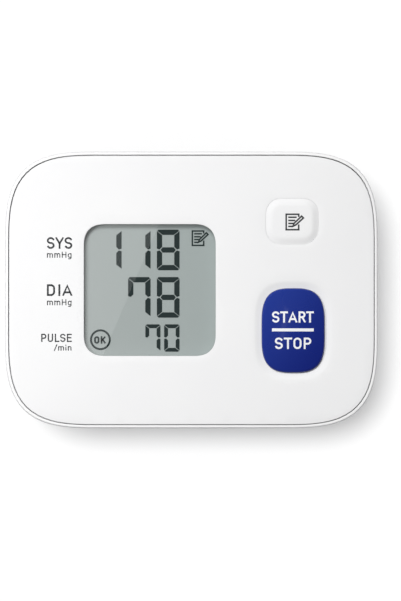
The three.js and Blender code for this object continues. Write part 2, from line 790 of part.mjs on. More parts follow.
// Contact plates, each with a tab up to the board.
function contactPlate(x0, x1, side, tabX) {
  const outer = side * (BAY_HALF_LENGTH - GAP);
  const inner = outer - side * CONTACT_THICKNESS;
  const low = Math.min(outer, inner);
  const high = Math.max(outer, inner);
  const half = TAB_WIDTH / 2;
  return join(
    block(x0, x1, low, high, CELL_Z - CONTACT_WIDTH / 2, BAY_TOP - GAP),
    block(tabX - half, tabX + half, low, high, BAY_TOP - GAP * 2, BOARD_Z - GAP),
  );
}

const contactHalf = CONTACT_WIDTH / 2;
const [negative, positive, bridge] = contactPlaces();
place(
  housing,
  "contact_negative",
  contactPlate(negative.x - contactHalf, negative.x + contactHalf, negative.side, negative.x),
  steel,
);
place(
  housing,
  "contact_positive",
  contactPlate(positive.x - contactHalf, positive.x + contactHalf, positive.side, positive.x),
  steel,
);
place(
  housing,
  "contact_bridge",
  contactPlate(negative.x - contactHalf, positive.x + contactHalf, bridge.side, bridge.x),
  steel,
);

// Battery cover: a piece of the left wall with a ribbed grip and two tongues.
function batteryCover() {
  const half = BAY_HALF_LENGTH - GAP;
  const low = WALL + GAP;
  const high = BAY_TOP - GAP;
  const reach = CELL_X - CELL_RADIUS;
  const wall = cut(tubOutside(), tubInside(COVER_THICKNESS, WALL / 2)).intersect(
    block(LEFT - OVERRUN, reach + OVERRUN, -half, half, low, high),
  );
  const gripFace = LEFT + sideInset(CELL_Z) - GRIP_PROUD;
  const gripDepth = GRIP_PROUD + COVER_THICKNESS / 2;
  const grip = block(
    gripFace,
    gripFace + gripDepth,
    GRIP_Y - GRIP_WIDTH / 2,
    GRIP_Y + GRIP_WIDTH / 2,
    CELL_Z - GRIP_HEIGHT / 2,
    CELL_Z + GRIP_HEIGHT / 2,
  );
  const grooves = [];
  for (let z = CELL_Z - GRIP_HEIGHT / 3; z <= CELL_Z + GRIP_HEIGHT / 3 + SEW; z += GRIP_HEIGHT / 6) {
    grooves.push(
      block(
        gripFace - OVERRUN,
        gripFace + GRIP_PROUD / 2,
        GRIP_Y - GRIP_WIDTH,
        GRIP_Y + GRIP_WIDTH,
        z - GRIP_RIB / 2,
        z + GRIP_RIB / 2,
      ),
    );
  }
  const tongueFrom = LEFT + COVER_THICKNESS;
  const tongues = [-TONGUE_Y, TONGUE_Y].map((y) =>
    block(
      tongueFrom,
      tongueFrom + TONGUE_LENGTH,
      y - TONGUE_WIDTH / 2,
      y + TONGUE_WIDTH / 2,
      high - TONGUE_THICKNESS,
      high,
    ),
  );
  return join(wall, cut(grip, ...grooves), ...tongues);
}

place(housing, "battery_cover", batteryCover(), whiteShell);

// Pump: motor can, shaft with its crank disc, and the head that the crank works in.
const motorFront = HEAD_BACK_Y - GAP;
const alongPump = (y0, y1, radius, sides, dx = 0) =>
  rod(at(PUMP_X + dx, y0, AIR_Z), at(PUMP_X + dx, y1, AIR_Z), radius, sides);
place(
  housing,
  "pump_motor",
  cut(
    join(
      alongPump(MOTOR_BACK_Y, motorFront, MOTOR_RADIUS, ROUND_SIDES),
      alongPump(MOTOR_BACK_Y - MOTOR_BOSS_LENGTH, MOTOR_BACK_Y + GAP, MOTOR_BOSS_RADIUS),
    ),
    alongPump(motorFront - SHAFT_DEPTH - GAP, motorFront + OVERRUN, SHAFT_RADIUS + GAP),
  ),
  steel,
);
place(
  housing,
  "pump_shaft",
  join(
    alongPump(motorFront - SHAFT_DEPTH, HEAD_BACK_Y + GAP * 2, SHAFT_RADIUS),
    alongPump(HEAD_BACK_Y + GAP, HEAD_BACK_Y + GAP + CRANK_THICKNESS, CRANK_RADIUS, ROUND_SIDES),
    alongPump(
      HEAD_BACK_Y + CRANK_THICKNESS,
      HEAD_BACK_Y + CHAMBER_DEPTH - GAP,
      CRANK_PIN_RADIUS,
      SMALL_SIDES,
      CRANK_RADIUS / 2,
    ),
  ),
  steel,
);

// Hose tail with its bore, from a face outwards.
function barb(x, y, z, dx, dy, dz) {
  const start = at(x, y, z).addScaledVector(at(dx, dy, dz), -GAP);
  const end = at(x, y, z).addScaledVector(at(dx, dy, dz), BARB_LENGTH);
  return rod(start, end, BARB_RADIUS);
}

const headRight = PUMP_X + HEAD_WIDTH / 2;
place(
  housing,
  "pump_head",
  cut(
    join(
      block(
        PUMP_X - HEAD_WIDTH / 2,
        headRight,
        HEAD_BACK_Y,
        HEAD_BACK_Y + HEAD_LENGTH,
        AIR_Z - HEAD_HEIGHT / 2,
        AIR_Z + HEAD_HEIGHT / 2 - GAP,
      ),
      barb(headRight, MANIFOLD_Y, AIR_Z, 1, 0, 0),
    ),
    alongPump(HEAD_BACK_Y - OVERRUN, HEAD_BACK_Y + CHAMBER_DEPTH, CHAMBER_RADIUS, ROUND_SIDES),
    rod(
      at(PUMP_X, MANIFOLD_Y, AIR_Z),
      at(headRight + BARB_LENGTH + OVERRUN, MANIFOLD_Y, AIR_Z),
      BARB_BORE,
      HOSE_SIDES,
    ),
  ),
  blackPlastic,
);

// Air manifold: a block with four hose tails that meet in its middle.
const manifoldHalf = MANIFOLD_SIZE / 2;
const across = manifoldHalf + BARB_LENGTH + OVERRUN;
place(
  housing,
  "air_manifold",
  cut(
    join(
      block(
        MANIFOLD_X - manifoldHalf,
        MANIFOLD_X + manifoldHalf,
        MANIFOLD_Y - manifoldHalf,
        MANIFOLD_Y + manifoldHalf,
        AIR_Z - manifoldHalf,
        AIR_Z + manifoldHalf,
      ),
      barb(MANIFOLD_X - manifoldHalf, MANIFOLD_Y, AIR_Z, -1, 0, 0),
      barb(MANIFOLD_X + manifoldHalf, MANIFOLD_Y, AIR_Z, 1, 0, 0),
      barb(MANIFOLD_X, MANIFOLD_Y - manifoldHalf, AIR_Z, 0, -1, 0),
      barb(MANIFOLD_X, MANIFOLD_Y + manifoldHalf, AIR_Z, 0, 1, 0),
    ),
    rod(
      at(MANIFOLD_X - across, MANIFOLD_Y, AIR_Z),
      at(MANIFOLD_X + across, MANIFOLD_Y, AIR_Z),
      BARB_BORE,
      HOSE_SIDES,
    ),
    rod(
      at(MANIFOLD_X, MANIFOLD_Y - across, AIR_Z),
      at(MANIFOLD_X, MANIFOLD_Y + across, AIR_Z),
      BARB_BORE,
      HOSE_SIDES,
    ),
  ),
  blackPlastic,
);

// Air valve: coil body with a hose tail, and the pin that its coil pulls in.
const valveBackY = VALVE_FRONT_Y - VALVE_LENGTH;
place(
  housing,
  "air_valve",
  cut(
    join(
      rod(
        at(MANIFOLD_X, valveBackY, AIR_Z),
        at(MANIFOLD_X, VALVE_FRONT_Y, AIR_Z),
        VALVE_RADIUS,
        ROUND_SIDES,
      ),
      barb(MANIFOLD_X, VALVE_FRONT_Y, AIR_Z, 0, 1, 0),
    ),
    rod(
      at(MANIFOLD_X, valveBackY - OVERRUN, AIR_Z),
      at(MANIFOLD_X, valveBackY + VALVE_PIN_LENGTH + GAP, AIR_Z),
      VALVE_PIN_RADIUS + GAP,
    ),
  ),
  steel,
);
place(
  housing,
  "valve_plunger",
  rod(
    at(MANIFOLD_X, valveBackY - VALVE_TRAVEL - GAP, AIR_Z),
    at(MANIFOLD_X, valveBackY + VALVE_PIN_LENGTH - VALVE_TRAVEL, AIR_Z),
    VALVE_PIN_RADIUS,
  ),
  steel,
);

// Pressure sensor: hangs under the board with its hose tail towards the manifold.
place(
  housing,
  "pressure_sensor",
  join(
    block(
      SENSOR_X - SENSOR_WIDTH / 2,
      SENSOR_X + SENSOR_WIDTH / 2,
      MANIFOLD_Y - SENSOR_WIDTH / 2,
      MANIFOLD_Y + SENSOR_WIDTH / 2,
      BOARD_Z - GAP - SENSOR_HEIGHT,
      BOARD_Z - GAP,
    ),
    barb(SENSOR_X - SENSOR_WIDTH / 2, MANIFOLD_Y, AIR_Z, -1, 0, 0),
  ),
  blackPlastic,
);

// Silicone hose along a route, open at both ends.
function hose(points, steps) {
  const ring = (radius, Kind) => {
    const around = [];
    for (let side = 0; side < HOSE_SIDES; side++) {
      const angle = (side / HOSE_SIDES) * 2 * Math.PI;
      around.push(flat(radius * Math.cos(angle), radius * Math.sin(angle)));
    }
    return new Kind(around);
  };
  const section = ring(HOSE_OUTER, THREE.Shape);
  section.holes.push(ring(HOSE_INNER, THREE.Path));
  const path =
    points.length === 2
      ? new THREE.LineCurve3(points[0], points[1])
      : new THREE.CatmullRomCurve3(points, false, "centripetal");
  return solidOf(
    new THREE.ExtrudeGeometry(section, { steps, extrudePath: path, bevelEnabled: false }),
  );
}

const manifoldLeft = MANIFOLD_X - manifoldHalf;
const manifoldRight = MANIFOLD_X + manifoldHalf;
const sensorLeft = SENSOR_X - SENSOR_WIDTH / 2;
const straightHose = (from, to) => hose([from, to], 1);
place(
  housing,
  "pump_tube",
  straightHose(
    at(headRight + GAP, MANIFOLD_Y, AIR_Z),
    at(manifoldLeft - GAP, MANIFOLD_Y, AIR_Z),
  ),
  silicone,
);
place(
  housing,
  "sensor_tube",
  straightHose(
    at(manifoldRight + GAP, MANIFOLD_Y, AIR_Z),
    at(sensorLeft - GAP, MANIFOLD_Y, AIR_Z),
  ),
  silicone,
);
place(
  housing,
  "valve_tube",
  straightHose(
    at(MANIFOLD_X, VALVE_FRONT_Y + GAP, AIR_Z),
    at(MANIFOLD_X, MANIFOLD_Y - manifoldHalf - GAP, AIR_Z),
  ),
  silicone,
);
const manifoldTop = MANIFOLD_Y + manifoldHalf;
place(
  housing,
  "cuff_tube",
  hose(
    [
      at(NOZZLE_X, NOZZLE_Y, NOZZLE_TOP + GAP),
      at(NOZZLE_X, NOZZLE_Y, NOZZLE_TOP + BARB_LENGTH),
      at(NOZZLE_X + HOSE_BEND / 2, NOZZLE_Y + HOSE_BEND / 5, AIR_Z + HOSE_BEND / 5),
      at(NOZZLE_X + HOSE_BEND, NOZZLE_Y + HOSE_BEND / 3, AIR_Z + HOSE_BEND / 4),
      at(MANIFOLD_X - HOSE_BEND / 2, NOZZLE_Y + HOSE_BEND / 5, AIR_Z),
      at(MANIFOLD_X, manifoldTop + HOSE_BEND, AIR_Z),
      at(MANIFOLD_X, manifoldTop + BARB_LENGTH, AIR_Z),
      at(MANIFOLD_X, manifoldTop + GAP, AIR_Z),
    ],
    12,
  ),
  silicone,
);

// A point of the closed loop: direction from its middle, and distance out from its centre line.
// The loop reaches below the floor by the depth of the flat that is cut there.
const loopMiddle = (LOOP_HEIGHT - FLOOR_CUT) / 2;
function loopPoint(angle, offset) {
  const a = LOOP_HALF_WIDTH - BAND / 2;
  const b = (LOOP_HEIGHT + FLOOR_CUT) / 2 - BAND / 2;
  const power = LOOP_POWER_SHARE;
  const u = Math.cos(angle);
  const v = Math.sin(angle);
  const norm = (Math.abs(u) ** power + Math.abs(v) ** power) ** (1 / power);
  const x = (a * u) / norm;
  const z = (b * v) / norm;
  const normal = flat(
    (Math.sign(x) * Math.abs(x / a) ** (power - 1)) / a,
    (Math.sign(z) * Math.abs(z / b) ** (power - 1)) / b,
  ).normalize();
  return flat(x + normal.x * offset, loopMiddle + z + normal.y * offset);
}

// Strip of the loop between two directions, whose faces lie at the given distances from the
// centre line, as a solid that runs along Y.
function strip(from, to, inner, outer, y0, y1) {
  const steps = Math.max(2, Math.round((to - from) / LOOP_STEP));
  const inside = [];
  const outside = [];
  for (let step = 0; step <= steps; step++) {
    const angle = from + ((to - from) * step) / steps;
    inside.push(loopPoint(angle, inner(angle)));
    outside.push(loopPoint(angle, outer(angle)));
  }
  const shape = new THREE.Shape([...outside, ...inside.reverse()]);
  const geometry = new THREE.ExtrudeGeometry(shape, { depth: y1 - y0, bevelEnabled: false });
  return solidOf(geometry.rotateX(Math.PI / 2).translate(0, y1, 0));
}

const level = (value) => () => value;

// What lies under the flat on which the cuff stands.
const underFloor = block(
  -LOOP_HALF_WIDTH,
  LOOP_HALF_WIDTH,
  -CUFF_WIDTH,
  CUFF_WIDTH,
  -LOOP_HALF_WIDTH,
  0,
);

const onFloor = (solid) => cut(solid, underFloor);

// Layers of the fixed cuff, from the outside in.
const halfBand = BAND / 2;
const halfCuff = CUFF_WIDTH / 2;
const clothHalf = halfCuff - BINDING_WIDTH - GAP;
const curlerOuter = halfBand - CLOTH - GAP;
const bladderOuter = curlerOuter - CURLER - GAP;
const innerOuter = bladderOuter - BLADDER - GAP;
const endGap = GAP / 2 / LOOP_HALF_WIDTH; // half the gap at a cut across the band, as an angle
const sideEndGap = endGap * 1.2;

// Holes through the saddle, cloth and curler for the nozzle.
const nozzlePath = upright(NOZZLE_X, NOZZLE_Y, 0, CASE_BACK + OVERRUN, NOZZLE_RADIUS + GAP);
const upperHalf = block(
  -LOOP_HALF_WIDTH,
  LOOP_HALF_WIDTH,
  -halfCuff,
  halfCuff,
  loopMiddle,
  CASE_BACK + OVERRUN,
);
const nozzleHole = nozzlePath.intersect(upperHalf);

const fixedEnd = SIDE_START - sideEndGap;
place(
  cuff,
  "cuff_outer_cloth",
  cut(
    onFloor(
      strip(FIXED_START, fixedEnd, level(halfBand - CLOTH), level(halfBand), -clothHalf, clothHalf),
    ),
    nozzleHole,
  ),
  outerCloth,
);
const curlerHalf = clothHalf - CURLER_MARGIN;
place(
  cuff,
  "cuff_curler",
  cut(
    strip(
      FIXED_START,
      fixedEnd,
      level(curlerOuter - CURLER),
      level(curlerOuter),
      -curlerHalf,
      curlerHalf,
    ),
    nozzleHole,
  ),
  silicone,
);
const bladderHalf = clothHalf - BLADDER_MARGIN;
place(
  cuff,
  "cuff_bladder",
  strip(
    FIXED_START + LOOP_STEP,
    fixedEnd - LOOP_STEP,
    level(bladderOuter - BLADDER),
    level(bladderOuter),
    -bladderHalf,
    bladderHalf,
  ),
  greyRubber,
);
place(
  cuff,
  "cuff_inner_cloth",
  strip(FIXED_START, fixedEnd, level(-halfBand), level(innerOuter), -clothHalf, clothHalf),
  innerCloth,
);
[1, -1].forEach((side, i) => {
  const outer = side * halfCuff;
  const inner = side * (halfCuff - BINDING_WIDTH);
  const tape = strip(
    FIXED_START,
    fixedEnd,
    level(-halfBand),
    level(halfBand),
    Math.min(outer, inner),
    Math.max(outer, inner),
  );
  place(cuff, "cuff_binding_" + (i + 1), onFloor(tape), bindingCloth);
});

// Side of the cuff: padded band from under the wrist up its right.
place(
  cuff,
  "cuff_side",
  onFloor(
    strip(
      SIDE_START + sideEndGap,
      TAIL_START - endGap,
      level(-halfBand),
      level(halfBand),
      -halfCuff,
      halfCuff,
    ),
  ),
  outerCloth,
);

// Closing tab: starts in line with the side and climbs outside the end of the fixed cuff.
const tabInner = halfBand + GAP + HOOK + GAP;
const overlapStart = FIXED_START + 2 * Math.PI - LOOP_STEP;
function climb(from, to) {
  return (angle) => {
    const share = THREE.MathUtils.smoothstep(angle, TAIL_START, overlapStart);
    return THREE.MathUtils.lerp(from, to, share);
  };
}
place(
  cuff,
  "cuff_tail",
  strip(
    TAIL_START + endGap,
    TAIL_END,
    climb(-halfBand, tabInner),
    climb(halfBand, tabInner + TAIL),
    -halfCuff,
    halfCuff,
  ),
  outerCloth,
);
place(
  cuff,
  "hook_patch",
  strip(
    FIXED_START + 2 * Math.PI,
    TAIL_END - LOOP_STEP / 3,
    level(halfBand + GAP),
    level(halfBand + GAP + HOOK),
    -halfCuff + HOOK_MARGIN,
    halfCuff - HOOK_MARGIN,
  ),
  bindingCloth,
);

// Saddle: flat under the housing, hollowed to the cuff, with holes for nozzle and screws.
const plateTop = CASE_BACK - GAP;
const plateHalf = PLATE_WIDTH / 2;
const saddleShape = new THREE.Shape();
for (let angle = 0; angle <= Math.PI + LOOP_STEP / 2; angle += LOOP_STEP) {
  const under = loopPoint(angle, halfBand + GAP);
  if (angle === 0) saddleShape.moveTo(under.x, under.y);
  else saddleShape.lineTo(under.x, under.y);
}
saddleShape.lineTo(-LOOP_HALF_WIDTH - OVERRUN, plateTop);
saddleShape.lineTo(LOOP_HALF_WIDTH + OVERRUN, plateTop);
const saddle = new THREE.ExtrudeGeometry(saddleShape, {
  depth: CUFF_WIDTH,
  bevelEnabled: false,
});
const plateOutline = outline({
  width: PLATE_WIDTH,
  height: PLATE_LENGTH,
  cornerX: plateHalf / 3,
  cornerY: plateHalf / 3,
  power: KEY_POWER_SHARE,
});
place(
  cuff,
  "cuff_plate",
  cut(
    solidOf(saddle.rotateX(Math.PI / 2).translate(0, halfCuff, 0)).intersect(
      slab(plateOutline, 0, CASE_BACK),
    ),
    nozzlePath,
    ...plateScrewPlaces.map(([x, y]) =>
      upright(x, y, plateTop - PLATE_SCREW_LENGTH, plateTop + OVERRUN, PLATE_SCREW_RADIUS + GAP),
    ),
  ),
  blackPlastic,
);
plateScrewPlaces.forEach(([x, y], i) => {
  const headLow = WALL + GAP;
  const screw = join(
    upright(x, y, headLow, headLow + PLATE_SCREW_HEAD_HEIGHT, PLATE_SCREW_HEAD, ROUND_SIDES),
    upright(x, y, headLow + GAP - PLATE_SCREW_LENGTH, headLow + GAP, PLATE_SCREW_RADIUS),
  );
  place(housing, "cuff_plate_screw_" + (i + 1), screw, steel);
});

// Nozzle: stands on the bladder and carries the hose's end inside the housing.
const shoulder = CASE_BACK + NOZZLE_TOP;
const bladderTop = loopPoint(
  Math.acos(NOZZLE_X / LOOP_HALF_WIDTH),
  bladderOuter,
).y;
place(
  cuff,
  "cuff_nozzle",
  cut(
    join(
      upright(NOZZLE_X, NOZZLE_Y, bladderTop + GAP, shoulder, NOZZLE_RADIUS, ROUND_SIDES),
      upright(NOZZLE_X, NOZZLE_Y, shoulder - GAP, shoulder + BARB_LENGTH, BARB_RADIUS),
    ),
    upright(
      NOZZLE_X,
      NOZZLE_Y,
      bladderTop - OVERRUN,
      shoulder + BARB_LENGTH + OVERRUN,
      BARB_BORE,
      HOSE_SIDES,
    ),
  ),
  silicone,
);

export default monitor;
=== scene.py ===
"""Wrist blood pressure monitor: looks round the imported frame, in metres, +Z up."""

import bmesh
import bpy
import numpy as np
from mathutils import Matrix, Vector
from mathutils.geometry import delaunay_2d_cdt


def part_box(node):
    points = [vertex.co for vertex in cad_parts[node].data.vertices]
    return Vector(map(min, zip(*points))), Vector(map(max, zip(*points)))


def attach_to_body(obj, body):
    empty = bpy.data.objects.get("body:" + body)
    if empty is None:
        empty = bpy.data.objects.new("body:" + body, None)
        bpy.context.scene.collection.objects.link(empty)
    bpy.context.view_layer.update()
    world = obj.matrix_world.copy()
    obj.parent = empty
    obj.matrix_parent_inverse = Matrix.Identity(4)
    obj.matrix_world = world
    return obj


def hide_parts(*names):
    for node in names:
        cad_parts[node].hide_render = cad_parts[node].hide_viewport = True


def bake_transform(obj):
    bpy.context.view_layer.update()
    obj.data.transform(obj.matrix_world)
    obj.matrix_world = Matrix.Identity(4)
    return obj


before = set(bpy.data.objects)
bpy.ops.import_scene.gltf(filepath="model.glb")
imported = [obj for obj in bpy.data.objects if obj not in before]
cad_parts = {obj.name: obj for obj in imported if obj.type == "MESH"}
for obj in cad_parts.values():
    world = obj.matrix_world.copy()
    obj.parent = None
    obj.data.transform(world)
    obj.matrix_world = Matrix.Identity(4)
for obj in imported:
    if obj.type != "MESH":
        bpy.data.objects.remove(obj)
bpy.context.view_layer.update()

# The view is from straight above, with the housing's long side across the picture. The camera
# stands far off behind a long lens, so that no side wall shows.
MM = 0.001
PICTURE_HEIGHT_PX = 601
PIXEL = 0.2247 * MM  # what one pixel covers on the plane of the rim
CAMERA_DISTANCE = 1200 * MM
PICTURE_MIDDLE = (2.04 * MM, -2.37 * MM)
SENSOR = 36.0  # millimetres, the long side
CLIP_FAR = 20.0


def corners_of(node):
    """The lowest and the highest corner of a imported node."""
    return [np.array(corner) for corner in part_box(node)]


def show(name, data):
    """Puts a mesh, lamp or camera in the scene."""
    made = bpy.data.objects.new(name, data)
    bpy.context.scene.collection.objects.link(made)
    return made


case_low, case_high = corners_of("rear_case")
BACK, RIM = case_low[2], case_high[2]
camera_data = bpy.data.cameras.new("camera")
camera_data.sensor_width = SENSOR
camera_data.lens = SENSOR * CAMERA_DISTANCE / (PICTURE_HEIGHT_PX * PIXEL)
camera_data.clip_end = CLIP_FAR
camera = show("camera", camera_data)
camera.location = (*PICTURE_MIDDLE, RIM + CAMERA_DISTANCE)
bpy.context.scene.camera = camera
bpy.context.scene.view_settings.view_transform = "Standard"


# The studio is a white sheet of paper under soft lamps: one lamp throws the short shadow on the
# paper, and two more, which leave the paper alone, light the monitor from above and the left.
class Shade:
    """One output of a shader node. Sums, differences and products of it with numbers or other
    outputs add Math nodes, and reckon() adds any other one. noise() is a noise texture at a
    place, between() goes from one colour to another by a share, and axis() is one coordinate."""

    def __init__(self, tree, socket=None):
        self.tree, self.socket = tree, socket

    def add(self, kind, inputs=None, output=0, stops=(), **settings):
        """A node of a kind: its settings and a ramp's stops, pairs of a place and a colour, are
        set first, then its sockets' values or links, by name or number."""
        node = self.tree.nodes.new("ShaderNode" + kind)
        for name, value in settings.items():
            setattr(node, name, value)
        for point, (place, colour) in zip(node.color_ramp.elements if stops else (), stops):
            point.position, point.color = place, colour
        for name, value in (inputs or {}).items():
            if isinstance(value, Shade):
                self.tree.links.new(value.socket, node.inputs[name])
            else:
                node.inputs[name].default_value = value
        return Shade(self.tree, node.outputs[output] if len(node.outputs) else None)

    def reckon(self, operation, *values):
        return self.add("Math", dict(enumerate(values)), operation=operation)

    def noise(self, scale, detail=2.0):
        return self.add("TexNoise", {"Vector": self, "Scale": scale, "Detail": detail})

    def between(self, low, high):
        return self.add("Mix", {0: self, 6: low, 7: high}, output=2, data_type="RGBA")

    def axis(self, number):
        return self.add("SeparateXYZ", {0: self}, output=number)

    __add__ = __radd__ = lambda self, other: self.reckon("ADD", self, other)
    __mul__ = __rmul__ = lambda self, other: self.reckon("MULTIPLY", self, other)
    __sub__ = lambda self, other: self.reckon("SUBTRACT", self, other)
    __rsub__ = lambda self, other: self.reckon("SUBTRACT", other, self)


def ink(red, green, blue):
    """A colour picked from a picture, 0 to 255, as the light it stands for, with full opacity:
    the usual screen curve, a straight start and then a power of 2.4."""
    share = np.array([red, green, blue]) / 255
    light = np.where(share <= 0.04045, share / 12.92, ((share + 0.055) / 1.055) ** 2.4)
    return (*light.tolist(), 1.0)


def empty_material(name):
    """A material without nodes, and the Shade that adds its first one."""
    material = bpy.data.materials.new(name)
    material.use_nodes = True
    material.node_tree.nodes.clear()
    return material, Shade(material.node_tree)


def sheet(name, corners, material):
    """A flat sheet of the studio between four corners."""
    mesh = bpy.data.meshes.new(name)
    mesh.from_pydata(np.asarray(corners).tolist(), [], [(0, 1, 2, 3)])
    mesh.materials.append(material)
    made = show(name, mesh)
    return made


def seen_directly(shade):
    """1 for rays from the camera, also through clear plastic, and 0 for reflected light."""
    kinds = ("Is Camera Ray", "Is Transmission Ray")
    return shade.reckon("MAXIMUM", *(shade.add("LightPath", output=kind) for kind in kinds))


PAPER = (0.7, 0.7, 0.7, 1.0)
PAPER_GLOW = 0.26
WHITE = (1.0, 1.0, 1.0, 1.0)
FLOOR_HALF = 4000 * MM
SKY_STRENGTH = 0.26
MIRRORED_SKY = 0.1

paper, shade = empty_material("studio_paper")
reflected = shade.add("BsdfDiffuse", {"Color": PAPER})
glow = shade.add("Emission", {"Color": WHITE, "Strength": seen_directly(shade) * PAPER_GLOW})
shade.add("OutputMaterial", {"Surface": shade.add("AddShader", {0: reflected, 1: glow})})
corners = np.array([(-1, -1, 0), (1, -1, 0), (1, 1, 0), (-1, 1, 0)]) * FLOOR_HALF
floor = sheet("studio_floor", corners, paper)

world = bpy.data.worlds.new("studio_sky")
world.use_nodes = True
world.node_tree.nodes.clear()
shade = Shade(world.node_tree)
strength = seen_directly(shade) * (1 - SKY_STRENGTH) + SKY_STRENGTH
mirrored = shade.add("LightPath", output="Is Glossy Ray") * (SKY_STRENGTH - MIRRORED_SKY)
sky = shade.add("Background", {"Color": WHITE, "Strength": strength - mirrored})
shade.add("OutputWorld", {"Surface": sky})
bpy.context.scene.world = world

# A sun's share is what it adds to a white sheet that faces it. Each lamp lights the paper
# alone, or all but the paper.
SUNS = (  # name, share, angle across in degrees, way, and whether the paper gets it
    ("paper_lamp", 0.86, 7.0, (0.055, -0.046, -1), "INCLUDE"),
    ("top_lamp", 0.61, 22.0, (0.22, -0.6, -1), "EXCLUDE"),
)
SIDE_LAMP_PLACE = np.array([-120, 25, 160]) * MM  # from the middle of the front panel
SIDE_LAMP_SIZE = 60 * MM
SIDE_LAMP_POWER = 0.128


def lamp(name, kind, way, state, place=(0, 0, 0), **settings):
    """A lamp that looks along a way, shows in no mirror, and lights the floor or all but it."""
    data = bpy.data.lights.new(name, kind)
    for key, value in settings.items():
        setattr(data, key, value)
    made = show(name, data)
    made.location = place
    made.rotation_euler = Vector(way).to_track_quat("-Z", "Y").to_euler()
    made.visible_glossy = False
    group = bpy.data.collections.new(name + "_receives")
    group.objects.link(floor)
    made.light_linking.receiver_collection = group
    group.collection_objects[0].light_linking.link_state = state


for name, share, angle, way, state in SUNS:
    lamp(name, "SUN", way, state, energy=share * np.pi, angle=np.radians(angle))
lamp("side_lamp", "AREA", -SIDE_LAMP_PLACE, "EXCLUDE", SIDE_LAMP_PLACE + (0, 0, RIM),
     shape="DISK", size=SIDE_LAMP_SIZE, energy=SIDE_LAMP_POWER)

# A bright card that only mirrors see. It ends in a slanting line across the display's pane.
GLOSS_HEIGHT = 600 * MM
GLOSS_LINE = np.array([(-7.37, 14.63), (-17.41, -8.85)]) * MM  # its ends on the pane
GLOSS_OVERHANG = 60 * MM
GLOSS_WIDTH = 34 * MM
GLOSS_LIGHT = 1.1

ends = GLOSS_LINE + (GLOSS_LINE - PICTURE_MIDDLE) * GLOSS_HEIGHT / CAMERA_DISTANCE
along = (ends[0] - ends[1]) / np.linalg.norm(ends[0] - ends[1])
ends = ends + np.array([along, -along]) * GLOSS_OVERHANG
corners = np.concatenate([ends, ends[::-1] + np.array([-along[1], along[0]]) * GLOSS_WIDTH])
shine, shade = empty_material("gloss_card")
light = shade.add("Emission", {"Color": WHITE, "Strength": GLOSS_LIGHT})
shade.add("OutputMaterial", {"Surface": light})
card = sheet("gloss_card", np.column_stack([corners, np.full(4, RIM + GLOSS_HEIGHT)]), shine)
for ray in ("camera", "diffuse", "transmission", "volume_scatter", "shadow"):
    setattr(card, "visible_" + ray, False)

# Rear case: a deep tub of white ABS, moulded in one piece with a round edge at the back, walls
# that lean out a little, and a step inside the rim that the front panel drops into.
CORNER_REACH = 22.0 * MM
CASE_POWER = 3.3
BACK_RADIUS = 6.0 * MM
DRAFT = 0.5 * MM
BELT = 14.5 * MM  # over the back, where the walls reach furthest out
TURN_IN = 0.17 * MM  # what they lean in again from there to the rim
WALL = 1.8 * MM
RIM_REACH = 0.3 * MM
RIM_FALL = 0.9 * MM
SEAM_OUTER = 0.8 * MM
SEAM_BEVEL = 0.05 * MM
REBATE = 1.6 * MM
BAY_HALF = 25.4 * MM
BAY_WALL = 0.8 * MM
BAY_REACH = 27.0 * MM  # left face to the bay's inner wall
BAY_TOP = 12.9 * MM
BOSS_RADIUS = 2.6 * MM
BOSS_GAP = 0.3 * MM  # under the board
SCREW_HOLE = 1.25 * MM
HEAD_HOLE = 2.3 * MM
HEAD_DEPTH = 2.2 * MM
PLATE_HOLE = 1.2 * MM
NOZZLE_HOLE = 2.1 * MM
OVERRUN = 2.0 * MM
HAIR = 0.05 * MM  # keeps two faces apart that would else lie in one place
SHARP = 32.0  # degrees: steeper edges stay crisp
MERGE = 0.0005 * MM
SWEEP_STEPS = 12
CAP_STEPS = 9
HOLE_SIDES = 32
STEP_SIDES = 40
half_width, half_height = case_high[:2]
case_depth = RIM - BACK


def power_outline(half, corner, power, middle=(0, 0), inset=0.0, turn=24, along=(10, 6)):
    """Points of a rectangle whose corners are quarter superellipses, |u|^power + |v|^power = 1,
    counter-clockwise, drawn in by an inset. Each corner has turn steps of equal angle, and each
    straight side is cut into as many equal steps as along says for its direction."""
    half, corner = np.asarray(half, float), np.minimum(corner, half)
    angle = np.linspace(0, np.pi / 2, turn + 1)
    quarter = np.stack([np.cos(angle), np.sin(angle)], 1)
    norm = (quarter**power).sum(1, keepdims=True) ** (1 / power)
    arc = half - corner + (corner - inset) * quarter / norm
    quarters = [arc, arc[::-1] * (-1, 1), -arc, arc[::-1] * (1, -1)]
    points = []
    for index, quarter in enumerate(quarters):
        steps = along[index % 2]
        share = (np.arange(1, steps) / steps)[:, None]
        points += [quarter, quarter[-1] + (quarters[(index + 1) % 4][0] - quarter[-1]) * share]
    return np.concatenate(points) + middle


def case_outline(inset):
    """The housing's outline from above, drawn in by an inset."""
    return power_outline((half_width, half_height), CORNER_REACH, CASE_POWER, inset=inset)


def side_inset(height):
    """How far the tub's outer face lies inside its outline, at a height over the back: a quarter
    circle round the back edge, a line that leans out to nothing at the belt, and over the belt
    the square of the share of the way up to the rim, times the turn in."""
    rise = np.clip(BACK_RADIUS - height, 0, BACK_RADIUS)
    round_edge = DRAFT + BACK_RADIUS - np.sqrt(BACK_RADIUS**2 - rise**2)
    lean = DRAFT * np.clip((BELT - height) / (BELT - BACK_RADIUS), 0, 1)
    lean += TURN_IN * np.clip((height - BELT) / (case_depth - BELT), 0, 1) ** 2
    return np.where(height < BACK_RADIUS, round_edge, lean)


def quads(grid, close=False):
    """Corners of a grid's cells, row by row. close joins the last column to the first one."""
    grid = np.concatenate([grid, grid[:, :1]], 1) if close else grid
    cells = [grid[:-1, :-1], grid[:-1, 1:], grid[1:, 1:], grid[1:, :-1]]
    return np.stack(cells, -1).reshape(-1, 4)


